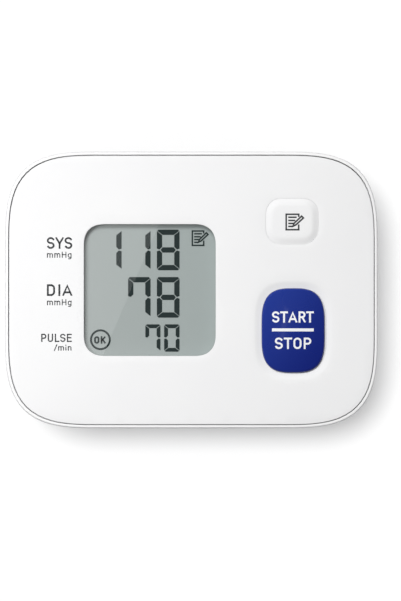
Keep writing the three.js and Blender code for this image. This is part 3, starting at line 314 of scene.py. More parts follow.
def loop_stack(rings, caps=True):
    """Closed rings of equal counts, (ring, point, 3), joined by quads. Caps fill both ends by
    drawing the end rings in to their middles."""
    rings = np.asarray(rings, float)
    if caps:
        shares = np.linspace(1, 0, CAP_STEPS)[1:-1, None, None]
        middles = rings.mean(1)
        first, last = (middles[end] + (rings[end] - middles[end]) * shares for end in (0, -1))
        rings = np.concatenate([first[::-1], rings, last])
    count, around = rings.shape[:2]
    index = np.arange(count * around).reshape(count, around)
    points, faces = rings.reshape(-1, 3), [quads(index, close=True)]
    for end in (0, -1) if caps else ():
        hub = np.full(around, len(points))
        faces.append(np.stack([index[end], np.roll(index[end], -1), hub], 1))
        points = np.concatenate([points, rings[end].mean(0)[None]])
    return points, faces


def slab(top, bottom):
    """Closed plate between two grids of points, (row, column, 3): both faces and a wall round
    their edges."""
    index = np.arange(top[..., 0].size).reshape(top.shape[:2])
    under = index + index.size
    rim = np.concatenate([index[0, :-1], index[:-1, -1], index[-1, :0:-1], index[:0:-1, 0]])
    walls = quads(np.stack([rim, rim + index.size]), close=True)
    points = np.concatenate([top.reshape(-1, 3), bottom.reshape(-1, 3)])
    return points, [quads(index), quads(under)[:, ::-1], walls]


def smoothed(mesh, sharp=SHARP):
    """Smooth shading, with the edges that are steeper than an angle left crisp."""
    mesh.shade_smooth()
    mesh.set_sharp_from_angle(angle=np.radians(sharp))


def piece(name, parts, material, body=None, flat=None, sharp=SHARP, merge=True):
    """Makes one object of parts, each a list of points and a list of face arrays. Doubles are
    merged and the faces turned outwards. flat gives every point's place on the cloth as UV."""
    starts = np.cumsum([0] + [len(points) for points, _ in parts])
    faces = [face for (_, arrays), start in zip(parts, starts)
             for array in arrays for face in (array + start).tolist()]
    mesh = bpy.data.meshes.new(name)
    mesh.from_pydata(np.concatenate([points for points, _ in parts]).tolist(), [], faces)
    if flat is not None:
        corner = np.empty(len(mesh.loops), np.int32)
        mesh.loops.foreach_get("vertex_index", corner)
        layer = mesh.uv_layers.new(name="cloth")
        layer.data.foreach_set("uv", np.asarray(flat, np.float32)[corner].ravel())
    work = bmesh.new()
    work.from_mesh(mesh)
    if merge:
        bmesh.ops.remove_doubles(work, verts=work.verts, dist=MERGE)
        bmesh.ops.dissolve_degenerate(work, edges=work.edges, dist=MERGE / 10)
    bmesh.ops.recalc_face_normals(work, faces=work.faces)
    work.to_mesh(mesh)
    work.free()
    smoothed(mesh, sharp)
    mesh.materials.append(material)
    made = show(name, mesh)
    if body:
        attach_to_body(made, body)
    return made


def carve(target, tool, operation):
    """Joins a tool, a closed object or a list of closed parts, to a piece, cuts it out of it or
    keeps what both share, and drops the tool."""
    tool = piece("tool", tool, target.data.materials[0]) if isinstance(tool, list) else tool
    change = target.modifiers.new("carve", "BOOLEAN")
    change.operation, change.object, change.solver = operation, tool, "EXACT"
    bpy.context.view_layer.update()
    depsgraph = bpy.context.evaluated_depsgraph_get()
    mesh = bpy.data.meshes.new_from_object(target.evaluated_get(depsgraph))
    target.modifiers.clear()
    old, target.data = target.data, mesh
    mesh.name = target.name
    bpy.data.meshes.remove(old)
    bpy.data.objects.remove(tool)
    smoothed(mesh)


def box_part(low, high):
    """Closed box between two corners, as a grid of two by two points over another."""
    x, y = np.meshgrid([low[0], high[0]], [low[1], high[1]])
    return slab(*(np.stack([x, y, np.full_like(x, z)], -1) for z in (high[2], low[2])))


def at_height(points, height):
    """Flat points lifted to one height, or each to its own."""
    return np.column_stack([points, np.broadcast_to(height, len(points))])


def circle(sides):
    """Even points round a circle of radius 1: the cosine and the sine of the turn."""
    angle = np.linspace(0, 2 * np.pi, sides, endpoint=False)
    return np.column_stack([np.cos(angle), np.sin(angle)])


def stepped(middle, rows, ring=circle(STEP_SIDES)):
    """Upright turned part, closed, from its radii and their heights over the back."""
    return loop_stack([at_height(ring * radius + middle, BACK + z) for radius, z in rows])


def upright(middle, z0, z1, radius):
    """Plain upright rod between two heights over the back. Its points start at the y axis."""
    ring = circle(HOLE_SIDES)[:, ::-1] * (-1, 1)
    return stepped(middle, ((radius, z0), (radius, z1)), ring)


def finish_surface(shade, sockets, bump=None, distance=0.0):
    """A Principled surface. bump is a height from 0 to 1, and distance what 1 stands for."""
    if bump is not None:
        relief = {"Strength": 1.0, "Distance": distance, "Height": bump}
        sockets = {**sockets, "Normal": shade.add("Bump", relief, output="Normal")}
    shade.add("OutputMaterial", {"Surface": shade.add("BsdfPrincipled", sockets)})


GRAIN = 2600.0  # noise scales are per metre
CLOUD = 90.0
GRAIN_DEPTH = 0.006 * MM
GLOSS_SPREAD = 0.08
COAT_ROUGHNESS = 0.12
# Over this depth under the rim the tub is painted paler: a painted highlight on the rim band.
RIM_HIGHLIGHT_FROM = 0.28 * MM  # under the rim


def moulded(name, colour, deeper, roughness, coat=0.0, tone=lambda place, cloudy: cloudy):
    """Moulded plastic: a fine spark-eroded grain, a faint cloudiness in the colour, and gloss
    that changes a little from place to place. tone may change the cloudy colour by the place."""
    material, shade = empty_material(name)
    place = shade.add("TexCoord", output="Object")
    cloud = place.noise(CLOUD)
    sockets = {"Base Color": tone(place, cloud.between(colour, deeper)),
               "Roughness": cloud * GLOSS_SPREAD + (roughness - GLOSS_SPREAD / 2),
               "Coat Weight": coat, "Coat Roughness": COAT_ROUGHNESS}
    finish_surface(shade, sockets, place.noise(GRAIN), GRAIN_DEPTH)
    return material


def painted_rim_highlight(place, cloudy):
    """Painted highlight: the tub's colour, evenly paler up to the top of its rim."""
    highlight_share = (place.axis(2) - (RIM - RIM_HIGHLIGHT_FROM)) * (1 / RIM_HIGHLIGHT_FROM)
    return highlight_share.between(cloudy, ink(252, 252, 252))


# The tub's white is a shade greyer than the panel's: painted shade that darkens the rim's outer edge and
# the battery cover.
white_plastic = moulded("white_plastic", ink(247, 247, 247), ink(244, 244, 245), 0.4)
tub_plastic = moulded("tub_plastic", ink(232, 232, 233), ink(229, 229, 231), 0.4, tone=painted_rim_highlight)

shoulder = case_depth - RIM_FALL
outer_rows = [(side_inset(z), z) for z in (
    *BACK_RADIUS * (1 - np.cos(np.linspace(0, np.pi / 2, SWEEP_STEPS))),
    *np.linspace(BACK_RADIUS, BELT, 7)[1:],
    *np.linspace(BELT, shoulder, 6)[1:],
)]
rim_rows = [(side_inset(shoulder) + RIM_REACH * (1 - np.cos(t)), shoulder + RIM_FALL * np.sin(t))
            for t in np.linspace(0, np.pi / 2, 9)[1:]]
seam_rows = [(SEAM_OUTER - SEAM_BEVEL, case_depth), (SEAM_OUTER, case_depth - SEAM_BEVEL),
             (SEAM_OUTER, case_depth - REBATE), (WALL, case_depth - REBATE)]
inner_heights = WALL + (BACK_RADIUS - WALL) * np.linspace(1, 0, SWEEP_STEPS) ** 1.6
inner_rows = [(side_inset(z) + WALL, z) for z in inner_heights]


def tub_part(rows, inset=0.0):
    """Closed stack of the tub's outlines, from rows of an inset and a height over the back."""
    return loop_stack([at_height(case_outline(row + inset), BACK + z) for row, z in rows])


def bay_part(wall, floor):
    """The battery bay's block, larger all round by a wall, from a floor over the back."""
    return box_part((-half_width - OVERRUN, -BAY_HALF - wall, BACK + floor),
                    (BAY_REACH - half_width + wall, BAY_HALF + wall, BACK + BAY_TOP + wall))


def axis_of(node):
    """Where a node's upright axis stands."""
    return sum(corners_of(node))[:2] / 2


case_screws = [axis_of("case_screw_" + number) for number in "1234"]
plate_screws = [axis_of("cuff_plate_screw_" + number) for number in "1234"]
nozzle = axis_of("cuff_nozzle")
boss_top = corners_of("circuit_board")[0][2] - BOSS_GAP - BACK
rear_case = piece("rear_case_shell", [tub_part(outer_rows + rim_rows + seam_rows + inner_rows)],
                  tub_plastic, "housing")
bay = piece("bay", [bay_part(BAY_WALL, WALL / 2)], tub_plastic)
carve(bay, [tub_part(outer_rows, HAIR)], "INTERSECT")
carve(rear_case, bay, "UNION")
carve(rear_case, [upright(m, WALL / 2, boss_top, BOSS_RADIUS) for m in case_screws], "UNION")
head_rows = [(HEAD_HOLE, -OVERRUN), (HEAD_HOLE, HEAD_DEPTH), (SCREW_HOLE, HEAD_DEPTH),
             (SCREW_HOLE, case_depth)]
holes = [bay_part(0, WALL), *(stepped(middle, head_rows) for middle in case_screws)]
holes += [upright(middle, -OVERRUN, WALL + OVERRUN, PLATE_HOLE) for middle in plate_screws]
holes.append(upright(nozzle, -OVERRUN, WALL + OVERRUN, NOZZLE_HOLE))
carve(rear_case, holes, "DIFFERENCE")
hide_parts("rear_case")

# Front case: the crowned white panel that drops into the rim, held by the case screws from
# behind. It has the display opening and a hole for each key, and a shallow dish round one.
CROWN = 0.9 * MM
PANEL_INSET = 0.99 * MM
PANEL_PLAY = (0.025 * MM, -0.03 * MM)  # where the panel lies in the rim's play
PANEL_EDGE = 0.15 * MM
PANEL_THICKNESS = 1.4 * MM
WINDOW_MIDDLE = (-9.35 * MM, -0.035 * MM)
WINDOW_HALF = (14.8 * MM, 14.8 * MM)
WINDOW_CORNER = 4.9 * MM
WINDOW_POWER = 2.5
WINDOW_ROUND = 0.12 * MM
SEAT_REACH = 1.25 * MM  # how far the pane's seat goes back behind the opening
SEAT_TOP = 18.85 * MM  # over the back plane
START_MIDDLE = (22.86 * MM, -9.12 * MM)
START_HALF = (7.07 * MM, 9.47 * MM)
START_CORNER = (7.0 * MM, 8.2 * MM)
KEY_POWER = 3.0
DISH_WIDTH = 1.75 * MM
DISH_DEPTH = 0.4 * MM
DISH_SLANT = 0.55  # the share of the fall that is a straight slope
START_GAP = 0.03 * MM
MEMORY_MIDDLE = (22.62 * MM, 15.42 * MM)
MEMORY_HALF = (5.92 * MM, 5.16 * MM)
MEMORY_CORNER = 3.9 * MM
MEMORY_POWER = 2.3
MEMORY_GAP = 0.02 * MM
HOLE_ROUND = 0.04 * MM
MESH_STEP = 1.6 * MM
CLEAR_SHARE = 0.55  # of a step, kept clear beside every loop
HALVINGS = 40
ROUND_STEPS = 5


def share_of_outline(x, y):
    """The share by which the panel's outline shrinks about its middle to pass through a point,
    found by halving: the point lies inside the shrunk outline or outside it."""
    reach = CORNER_REACH - PANEL_INSET - PANEL_EDGE
    low, high = np.full(np.shape(x), 1e-6), np.full(np.shape(x), 2.0)
    for _ in range(HALVINGS):
        middle = (low + high) / 2
        u, v = (np.maximum(np.abs(way) / middle - (half - CORNER_REACH), 0) / reach
                for way, half in ((x, half_width), (y, half_height)))
        outside = u**CASE_POWER + v**CASE_POWER > 1
        low, high = np.where(outside, middle, low), np.where(outside, high, middle)
    return (low + high) / 2


def face_height(x, y):
    """Height of the crowned panel: the rim, plus the crown times 1 less the share squared."""
    return RIM + CROWN * (1 - share_of_outline(x, y) ** 2)


def on_face(points, drop=0.0):
    """Flat points lifted onto the crowned panel, less a drop."""
    return at_height(points, face_height(*points.T) - drop)


def outline_of(half, corner, power, middle, turn, along):
    """An outline as a function of how far it is grown outwards."""
    return lambda grow: power_outline(half, corner, power, middle, -grow, turn, along)


window_outline = outline_of(WINDOW_HALF, WINDOW_CORNER, WINDOW_POWER, WINDOW_MIDDLE, 16, (12, 12))
start_outline = outline_of(START_HALF, START_CORNER, KEY_POWER, START_MIDDLE, 24, (2, 3))
memory_outline = outline_of(MEMORY_HALF, MEMORY_CORNER, MEMORY_POWER, MEMORY_MIDDLE, 16, (5, 3))


def rounded_edge(outline, radius, low, drop=0.0):
    """Rings from the panel's face over a round edge and straight down to a height. outline gives
    the points for a distance out of the hole, or for the panel's own edge, into it."""
    rings = [on_face(outline(radius * (1 - np.sin(t))), drop + radius * (1 - np.cos(t)))
             for t in np.linspace(0, np.pi / 2, ROUND_STEPS)]
    return [*rings, at_height(rings[-1][:, :2], low)]


def inside_loop(points, loop):
    """Whether points lie in a loop: an upward ray from each one crosses it an odd number of
    times."""
    x, y = points[:, :1], points[:, 1:]
    (x0, y0), (x1, y1) = loop.T, np.roll(loop, -1, 0).T
    crossing = y0 + (x - x0) * (y1 - y0) / np.where(x1 == x0, 1, x1 - x0)
    return ((((x0 > x) != (x1 > x)) & (crossing > y)).sum(1) % 2).astype(bool)


def filled(loops, height):
    """Triangles between an outer loop and the holes in it, through a field of even points, at
    the height that a function gives."""
    outer, *openings = loops
    between = lambda spots: inside_loop(spots, outer) & ~np.any(
        [inside_loop(spots, loop) for loop in openings], 0)
    ends = zip(outer.min(0) + MESH_STEP / 2, outer.max(0))
    steps = [np.arange(low, high, MESH_STEP) for low, high in ends]
    field = np.stack(np.meshgrid(*steps), -1).reshape(-1, 2)
    keep = between(field)
    edges, start = [], 0
    for loop in loops:
        far = np.linalg.norm(field[:, None] - loop[None], axis=2).min(1)
        keep &= far > MESH_STEP * CLEAR_SHARE
        index = start + np.arange(len(loop))
        edges.append(np.stack([index, np.roll(index, -1)], 1))
        start += len(loop)
    vectors = [Vector(p) for p in np.concatenate([*loops, field[keep]]).tolist()]
    made = delaunay_2d_cdt(vectors, np.concatenate(edges).tolist(), [], 0, MERGE / 10, True)
    points, faces = np.array([tuple(p) for p in made[0]]), np.array(made[2])
    return at_height(points, height(*points.T)), [faces[between(points[faces].mean(1))]]


level = lambda z: lambda x, y: np.full_like(x, z)
panel_under = RIM - PANEL_THICKNESS
window_rings = rounded_edge(window_outline, WINDOW_ROUND, BACK + SEAT_TOP)
window_rings += [at_height(window_outline(SEAT_REACH), z) for z in (BACK + SEAT_TOP, panel_under)]
memory_rings = rounded_edge(lambda g: memory_outline(MEMORY_GAP + g), HOLE_ROUND, panel_under)
edge_rings = rounded_edge(lambda g: case_outline(PANEL_INSET + g) + PANEL_PLAY, PANEL_EDGE,
                          panel_under)

# The dish's floor falls by a straight slope and by (1 - cos) / 2 of the way in to the key.
share = np.linspace(0, 1, 9)[:-1]
falls = DISH_DEPTH * (share * DISH_SLANT + (1 - DISH_SLANT) * (1 - np.cos(np.pi * share)) / 2)
reaches = DISH_WIDTH + (START_GAP + HOLE_ROUND - DISH_WIDTH) * share
start_rings = [on_face(start_outline(reach), fall) for reach, fall in zip(reaches, falls)]
start_rings += rounded_edge(lambda g: start_outline(START_GAP + g), HOLE_ROUND, panel_under,
                            DISH_DEPTH)
stacks = [edge_rings, window_rings, start_rings, memory_rings]
parts = [filled([rings[0][:, :2] for rings in stacks], face_height),
         filled([rings[-1][:, :2] for rings in stacks], level(panel_under))]
parts += [loop_stack(rings, caps=False) for rings in stacks]
front_case = piece("front_case_panel", parts, white_plastic, "housing")
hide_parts("front_case")

# Display: two glass plates with liquid crystal between them, the upper one smaller, lie under a
# clear acrylic pane, which is stuck to a seat behind the panel. The digits are dark segments.
# The crystal's two greys are painted shade: lighter at the left, darker at the right.
GLASS_LIT_LEFT = ink(173, 178, 177)
GLASS_SHADED_RIGHT = ink(168, 176, 175)
DULL = {"Specular IOR Level": 0.15}  # glass and crystal under the pane mirror little
FILM = 0.03 * MM  # how thick printed ink and segments are
PHOTO_MIDDLE = (191.4, 289.6)
PANE_REACH = 1.2 * MM  # how far the pane reaches behind the panel
PANE_ROUND = 0.08 * MM
PANE_THICKNESS = 0.22 * MM
CRYSTAL_REACH = 1.0 * MM
CRYSTAL_GAP = 0.05 * MM  # room over the upper plate for the segments
LEDGE_CORNER = 0.4 * MM
ACRYLIC_INDEX = 1.49
PANE_TINT = (0.985, 0.99, 0.988, 1.0)
PANE_ROUGHNESS = 0.002
SMEAR_NOISE = (60.0, 3.0)  # scale and detail
SMEAR_SPREAD = 0.006
pane_top = corners_of("display_window")[1][2]
lcd_low, lcd_high = corners_of("lcd_panel")


def photo_place(x, y):
    """A place in the picture, in pixels, as metres across the plane of the rim."""
    return np.stack([(x - PHOTO_MIDDLE[0]) * PIXEL, (PHOTO_MIDDLE[1] - y) * PIXEL], -1)


def printed(name, tone, roughness, noise, sockets=(), spread=0.1, depth=0.0):
    """Ink, glass or glossy cap: noise, given as its scale and detail, varies the gloss and, as
    relief of a depth, the surface. tone gives the colour by the place and the noise."""
    material, shade = empty_material(name)
    place = shade.add("TexCoord", output="Object")
    fine = place.noise(*noise)
    look = {"Base Color": tone(place, fine), "Roughness": fine * spread + roughness}
    finish_surface(shade, {**look, **dict(sockets)}, fine if depth else None, depth)
    return material


def painted_glass_shade(place, fine):
    """Painted shade: the crystal's grey goes evenly from a lighter left to a darker right, as light
    falls off across the display.
    """
    across = place.add("MapRange", {0: place.axis(0), 1: float(lcd_low[0]), 2: float(lcd_high[0])})
    return across.between(GLASS_LIT_LEFT, GLASS_SHADED_RIGHT)


two_inks = lambda colour, deeper: lambda place, fine: fine.between(colour, deeper)
glass = printed("crystal_glass", painted_glass_shade, 0.5, (5000.0, 1.0), DULL)
segment_ink = printed("segment_ink", two_inks(ink(40, 50, 50), ink(47, 57, 57)), 0.4, (4000.0, 1.0),
                      DULL)

clear_pane, shade = empty_material("clear_acrylic")
smear = shade.add("TexCoord", output="Object").noise(*SMEAR_NOISE)
mirror = shade.add("BsdfGlossy", {"Color": WHITE, "Roughness": smear * SMEAR_SPREAD + PANE_ROUGHNESS})
through = shade.add("BsdfTransparent", {"Color": PANE_TINT})
back_side = shade.add("NewGeometry", output="Backfacing")
amount = shade.add("Fresnel", {"IOR": ACRYLIC_INDEX}) * (1 - back_side)
mixed = shade.add("MixShader", {0: amount, 1: through, 2: mirror})
shade.add("OutputMaterial", {"Surface": mixed})


def plate(outline, low, high):
    """A flat plate with chamfered edges between two heights. outline gives its points for a
    distance outwards."""
    levels = ((-PANE_ROUND, low), (0, low + PANE_ROUND), (0, high - PANE_ROUND), (-PANE_ROUND, high))
    return loop_stack([at_height(outline(grow), z) for grow, z in levels])


pane_under = pane_top - PANE_THICKNESS
crystal_top = pane_under - CRYSTAL_GAP
ledge_outline = outline_of((lcd_high - lcd_low)[:2] / 2, LEDGE_CORNER, WINDOW_POWER,
                           (lcd_low + lcd_high)[:2] / 2, 4, (12, 12))
plates = [plate(ledge_outline, lcd_low[2], lcd_high[2]),
          plate(lambda grow: window_outline(CRYSTAL_REACH + grow), lcd_high[2], crystal_top)]
pane = piece("display_pane", [plate(lambda g: window_outline(PANE_REACH + g), pane_under, pane_top)],
             clear_pane, "housing")
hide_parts("display_window")
crystal = piece("crystal_plates", plates, glass, "housing", merge=False)
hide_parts("lcd_panel")

# Digits and signs: dark liquid crystal under the pane, as flat films on the upper glass plate.
# Each digit is up to seven bars with mitred ends. They are measured in the picture's pixels.
SEGMENT_GAP = 0.42
SEGMENT_CUT = 0.24  # of the bar's width, off its outer corners
DASH_END = 0.62  # of the bar's width, from the side to the middle bar's point
SEGMENTS = {"0": "abcdef", "1": "bc", "7": "abcf", "8": "abcdefg"}
SIGN_BOXES = [  # sign, left, right, top, bottom, bar's width
    ("1", 95.6, 121.5, 229.2, 269.9, 5.3), ("1", 124.7, 150.5, 229.2, 269.9, 5.3),
    ("8", 156.8, 179.5, 229.2, 269.9, 5.3), ("7", 128.0, 150.5, 276.7, 317.3, 5.3),
    ("8", 156.8, 179.5, 276.7, 317.3, 5.3), ("7", 145.3, 160.4, 324.0, 351.4, 3.85),
    ("0", 164.1, 179.5, 324.0, 351.4, 3.85),
]


def digit(sign, left, right, top, bottom, w):
    """The bars of one digit in its box, drawn about its middle and mirrored into place. An outer
    bar has a long outer and a short inner edge with slanting ends, the middle one is a hexagon."""
    half, tall, g, cut = (right - left) / 2, (bottom - top) / 2, SEGMENT_GAP, w * SEGMENT_CUT
    end = np.array([(half - cut - g, tall), (half - g, tall - cut), (half - w - g, tall - w)])
    bar = np.concatenate([end, end[::-1] * (-1, 1)])
    post = np.array([(half, tall - cut - g / 2), (half, w / 4), (half - w / 2, g),
                     (half - w, w / 2 + g), (half - w, tall - w - g)])
    tip = np.array([(half - w - g, -w / 2), (half - w * DASH_END - g, 0), (half - w - g, w / 2)])
    dash = np.concatenate([tip, -tip])
    shapes = {"a": bar, "d": bar * (1, -1), "b": post, "c": post * (1, -1), "f": post * (-1, 1),
              "e": -post, "g": dash}
    middle = ((left + right) / 2, (top + bottom) / 2)
    return [shapes[letter] * (1, -1) + middle for letter in SEGMENTS[sign]]


def prism(outline, low, high):
    """Closed flat shape over a convex outline, from one height to another."""
    index = np.arange(2 * len(outline)).reshape(2, -1)
    points = np.concatenate([at_height(outline, z) for z in (low, high)])
    return points, [quads(index, close=True), index[:1, ::-1], index[1:]]


def arc(x, y, across, up, start, end, steps=10):
    """Points on an ellipse's arc about x and y, from one angle in degrees to another."""
    turn = np.radians(np.linspace(start, end, steps))
    return [(x + across * np.cos(t), y + up * np.sin(t)) for t in turn]


def arch(left, right, radius):
    """A lower-case arch: up from the left stem, over, and down the right one."""
    half = (right - left) / 2
    return [*arc(left + half, SMALL - radius, half, radius, 180, 0), (right, 0)]


# The printed letters, each as a width, the room at its two sides beside that of every letter,
# and the middle lines of its strokes, with capitals 1 high: plain upright letters with even
# strokes, as on road signs.
SMALL = 0.72  # height of a small letter
STEM = [(0, 1), (0, 0)]
LETTERS = {
    "S": (0.58, 0.03, 0.03, [[*arc(0.29, 0.75, 0.29, 0.25, 28, 270, 20),
                              *arc(0.29, 0.25, 0.29, 0.25, 90, -152, 20)[1:]]]),
    "T": (0.62, 0, 0, [[(0, 1), (0.62, 1)], [(0.31, 1), (0.31, 0)]]),
    "A": (0.74, 0, 0, [[(0, 0), (0.37, 1), (0.74, 0)], [(0.12, 0.27), (0.62, 0.27)]]),
    "R": (0.56, 0.09, 0, [[(0, 0), (0, 1), (0.3, 1), *arc(0.3, 0.74, 0.24, 0.26, 90, -90), (0, 0.48)],
                          [(0.28, 0.48), (0.56, 0)]]),
    "O": (0.6, 0.06, 0.06, [[(0.6, 0.5), *arc(0.3, 0.7, 0.3, 0.3, 0, 180),
                             *arc(0.3, 0.3, 0.3, 0.3, 180, 360), (0.6, 0.5)]]),
    "P": (0.55, 0.09, 0.03, [[(0, 0), (0, 1), (0.28, 1), *arc(0.28, 0.725, 0.27, 0.275, 90, -90),
                              (0, 0.45)]]),
    "Y": (0.64, 0, 0, [[(0, 1), (0.32, 0.44), (0.64, 1)], [(0.32, 0.44), (0.32, 0)]]),
    "D": (0.58, 0.09, 0.12, [[(0, 0), (0, 1), (0.28, 1), *arc(0.28, 0.7, 0.3, 0.3, 90, 0),
                              *arc(0.28, 0.3, 0.3, 0.3, 0, -90), (0, 0)]]),
    "I": (0.0, 0.12, 0.12, [STEM]),
    "U": (0.56, 0.09, 0.09, [[(0, 1), *arc(0.28, 0.28, 0.28, 0.28, 180, 360), (0.56, 1)]]),
    "L": (0.46, 0.09, 0, [[*STEM, (0.46, 0)]]),
    "E": (0.5, 0.09, 0, [[(0.5, 1), *STEM, (0.5, 0)], [(0, 0.52), (0.44, 0.52)]]),
    "K": (0.56, 0.09, 0, [STEM, [(0.54, 1), (0.04, 0.4)], [(0.19, 0.58), (0.56, 0)]]),
    "H": (0.58, 0.09, 0.09, [STEM, [(0.58, 0), (0.58, 1)], [(0, 0.52), (0.58, 0.52)]]),
    "m": (0.8, 0.07, 0.07, [[(0, 0), (0, SMALL)], arch(0, 0.4, 0.2), arch(0.4, 0.8, 0.2)]),
    "n": (0.44, 0.07, 0.07, [[(0, 0), (0, SMALL)], arch(0, 0.44, 0.22)]),
    "i": (0.0, 0.07, 0.07, [[(0, 0), (0, 0.6)], [(0, 0.98), (0, 1.02)]]),
    "g": (0.44, 0.05, 0.07, [[(0.44, 0.7), (0.22, 0.7), *arc(0.22, 0.48, 0.22, 0.22, 90, 180),
                              *arc(0.22, 0.22, 0.22, 0.22, 180, 270), (0.44, 0)],
                             [(0.44, 0.7), *arc(0.22, -0.08, 0.22, 0.22, 0, -90), (0.06, -0.3)]]),
    "/": (0.36, 0, 0, [[(0, -0.08), (0.36, 1.08)]]),
}
LETTER_SPACE = 0.05  # between two letters, beside their own room and the width of the strokes
PAGE_LINES = ((0.193, 0.84), (0.4, 0.73), (0.593, 0.57), (0.787, 0.53))
PAGE_INDENT = 0.16
PENCIL = ((1.23, 0.12), (1.377, 0.24), (0.762, 0.693), (0.549, 0.773), (0.615, 0.6), (1.23, 0.12))
PAGE = ((1.0, 0.17), (1.0, 0.0), (0.0, 0.0), (0.0, 1.0), (1.0, 1.0), (1.0, 0.66))
MITRE = 0.35  # keeps the corner of a sharp bend short


def ribbon(path, width, square=True):
    """Both edges of a stroke along points: each is half the width to its side, with mitred
    bends, and the ends stand out by half the width. A path that ends where it starts is closed."""
    path = np.asarray(path, float)
    path = path[np.concatenate([[True], np.hypot(*np.diff(path, axis=0).T) > width / 500])]
    run = np.diff(path, axis=0)
    run /= np.hypot(*run.T)[:, None]
    closed = np.allclose(path[0], path[-1])
    before = np.concatenate([run[-1:] if closed else run[:1], run])
    after = np.concatenate([run, run[:1] if closed else run[-1:]])
    normal = (before + after)[:, ::-1] * (-1, 1)
    normal /= np.maximum(1 + (before * after).sum(1), MITRE)[:, None]
    if square and not closed:
        path[0], path[-1] = path[0] - run[0] * width / 2, path[-1] + run[-1] * width / 2
    return np.stack([path + normal * width / 2, path - normal * width / 2], 1)


def word(letters, left, right, top, base, width):
    """The strokes of a word in pixels: its letters are laid side by side and stretched, so that
    the ink reaches from left to right and its capitals from the base line to the top."""
    height = base - top - width
    laid, at = [], -LETTERS[letters[0]][1]
    for letter in letters:
        advance, before, after, strokes = LETTERS[letter]
        laid += [np.array(stroke, float) + (at + before, 0) for stroke in strokes]
        reach = at + before + advance
        at = reach + after + LETTER_SPACE + width / height
    scale = (right - left - width) / reach
    ribbons = []
    for path in laid:
        low, high = path[:, 1].min(), path[:, 1].max()
        edge = ribbon((left + width / 2, base - width / 2) + path * (scale, -height), width)
        foot = base if low > -0.05 else base + height
        edge[..., 1] = np.clip(edge[..., 1], top - width / 2 * (high > 1), foot)
        ribbons.append(edge)
    return ribbons


def notepad(corner, size, width):
    """A page with four lines and a hollow pencil across its side, in pixels."""
    lines = [((PAGE_INDENT, y), (x, y)) for y, x in PAGE_LINES]
    return [ribbon(np.array(corner) + np.array(path) * size, width, square=False)
            for path in (PAGE, *lines, PENCIL)]


def film_parts(ribbons, height):
    """Strokes as thin closed films on a surface whose height a function gives."""
    parts = []
    for edge in ribbons:
        place = photo_place(edge[..., 0], edge[..., 1])
        low = height(place[..., 0], place[..., 1])
        parts.append(slab(*(np.concatenate([place, (low + lift)[..., None]], -1) for lift in (FILM, 0))))
    return parts


RING = (100.3, 339.4, 9.4, 9.4)  # middle and radii
RING_STROKE = 1.95
signs = [ribbon(arc(*RING, 0, 360, 61), RING_STROKE)]
signs += word("OK", 94.0, 105.6, 335.9, 343.4, 1.75)
signs += notepad((192.3, 230.6), (11.4, 14.4), 1.5)
segment_foot = crystal_top + FILM / 10
bars = [bar for box in SIGN_BOXES for bar in digit(*box)]
parts = [prism(photo_place(*bar.T), segment_foot, crystal_top + FILM) for bar in bars]
parts += film_parts(signs, level(segment_foot))
piece("display_segments", parts, segment_ink, "housing", merge=False)

# Printed words: dark grey pad print on the panel beside the display, a few hundredths of a
# millimetre thick, with the same drawn letters as the sign in the display.
LABELS = [
    ("SYS", 46.9, 72.3, 236.8, 248.5, 1.8),
    ("mmHg", 47.0, 71.5, 251.4, 257.4, 0.92),
    ("DIA", 46.9, 72.3, 283.9, 295.6, 1.92),
    ("mmHg", 47.0, 71.5, 298.9, 304.9, 0.94),
    ("PULSE", 41.2, 71.8, 333.4, 341.6, 1.28),
    ("/min", 54.0, 71.5, 344.4, 350.2, 0.98),
]
PRINT_NOISE = (3000.0, 2.0)
PRINT_RELIEF = 0.003 * MM
label_ink = printed("label_print", two_inks(ink(60, 62, 64), ink(70, 72, 74)), 0.45, PRINT_NOISE,
                    depth=PRINT_RELIEF)
sunk_in = lambda height: lambda x, y: height(x, y) - FILM / 3  # a third of the print is sunk
ribbons = [edge for label in LABELS for edge in word(*label)]
piece("printed_words", film_parts(ribbons, sunk_in(face_height)), label_ink, "housing",
      merge=False)

# Start and stop key: a domed cap of glossy deep blue plastic with a printed white bar and words.
# It stands in the dish and presses the switch under it.
START_TOP = 0.86 * MM  # how far the dome's middle stands above the panel
START_ROUND = 0.7 * MM
ROUND_FLATTENED = 0.8
KEY_FOOT = 2.2 * MM
DOME_RISE = 0.58 * MM
DOME_POWER = 2.4
# The blue's two stops are painted shade: lighter at the key's upper left, deeper at its lower right.
BLUE_SHADE_STOPS = [(0.12, ink(30, 54, 144)), (0.88, ink(4, 28, 120))]
BLUE_NOISE = (110.0, 2.0)
BLUE_COAT = {"Coat Weight": 0.35, "Coat Roughness": 0.06}
KEY_WORDS = [("START", 272.0, 313.7, 311.0, 322.2, 1.88), ("STOP", 274.8, 311.2, 337.2, 348.6, 1.84)]
KEY_BAR = np.array([(271.9, 329.5), (313.6, 329.5)])
KEY_BAR_WIDTH = 3.0


def painted_blue_shade(place, cloud):
    """Painted shade: the blue deepens evenly from the upper left to the lower right of the key, where
    the dome turns away from the light.
    """
    across = (place.axis(0) - START_MIDDLE[0]) * (0.5 / START_HALF[0])
    slope = across - (place.axis(1) - START_MIDDLE[1]) * (0.5 / START_HALF[1])
    return place.add("ValToRGB", {0: slope * 0.5 + 0.5}, stops=BLUE_SHADE_STOPS)


def start_height(x, y):
    """Height of the key's dome: it falls from the middle by the square of the share of the way
    to the edge, (|u|^2.4 + |v|^2.4)^(1/2.4)."""
    u = np.abs(x - START_MIDDLE[0]) / (START_HALF[0] - START_ROUND)
    v = np.abs(y - START_MIDDLE[1]) / (START_HALF[1] - START_ROUND)
    share = (u**DOME_POWER + v**DOME_POWER) ** (1 / DOME_POWER)
    return face_height(*START_MIDDLE) + START_TOP - DOME_RISE * share**2


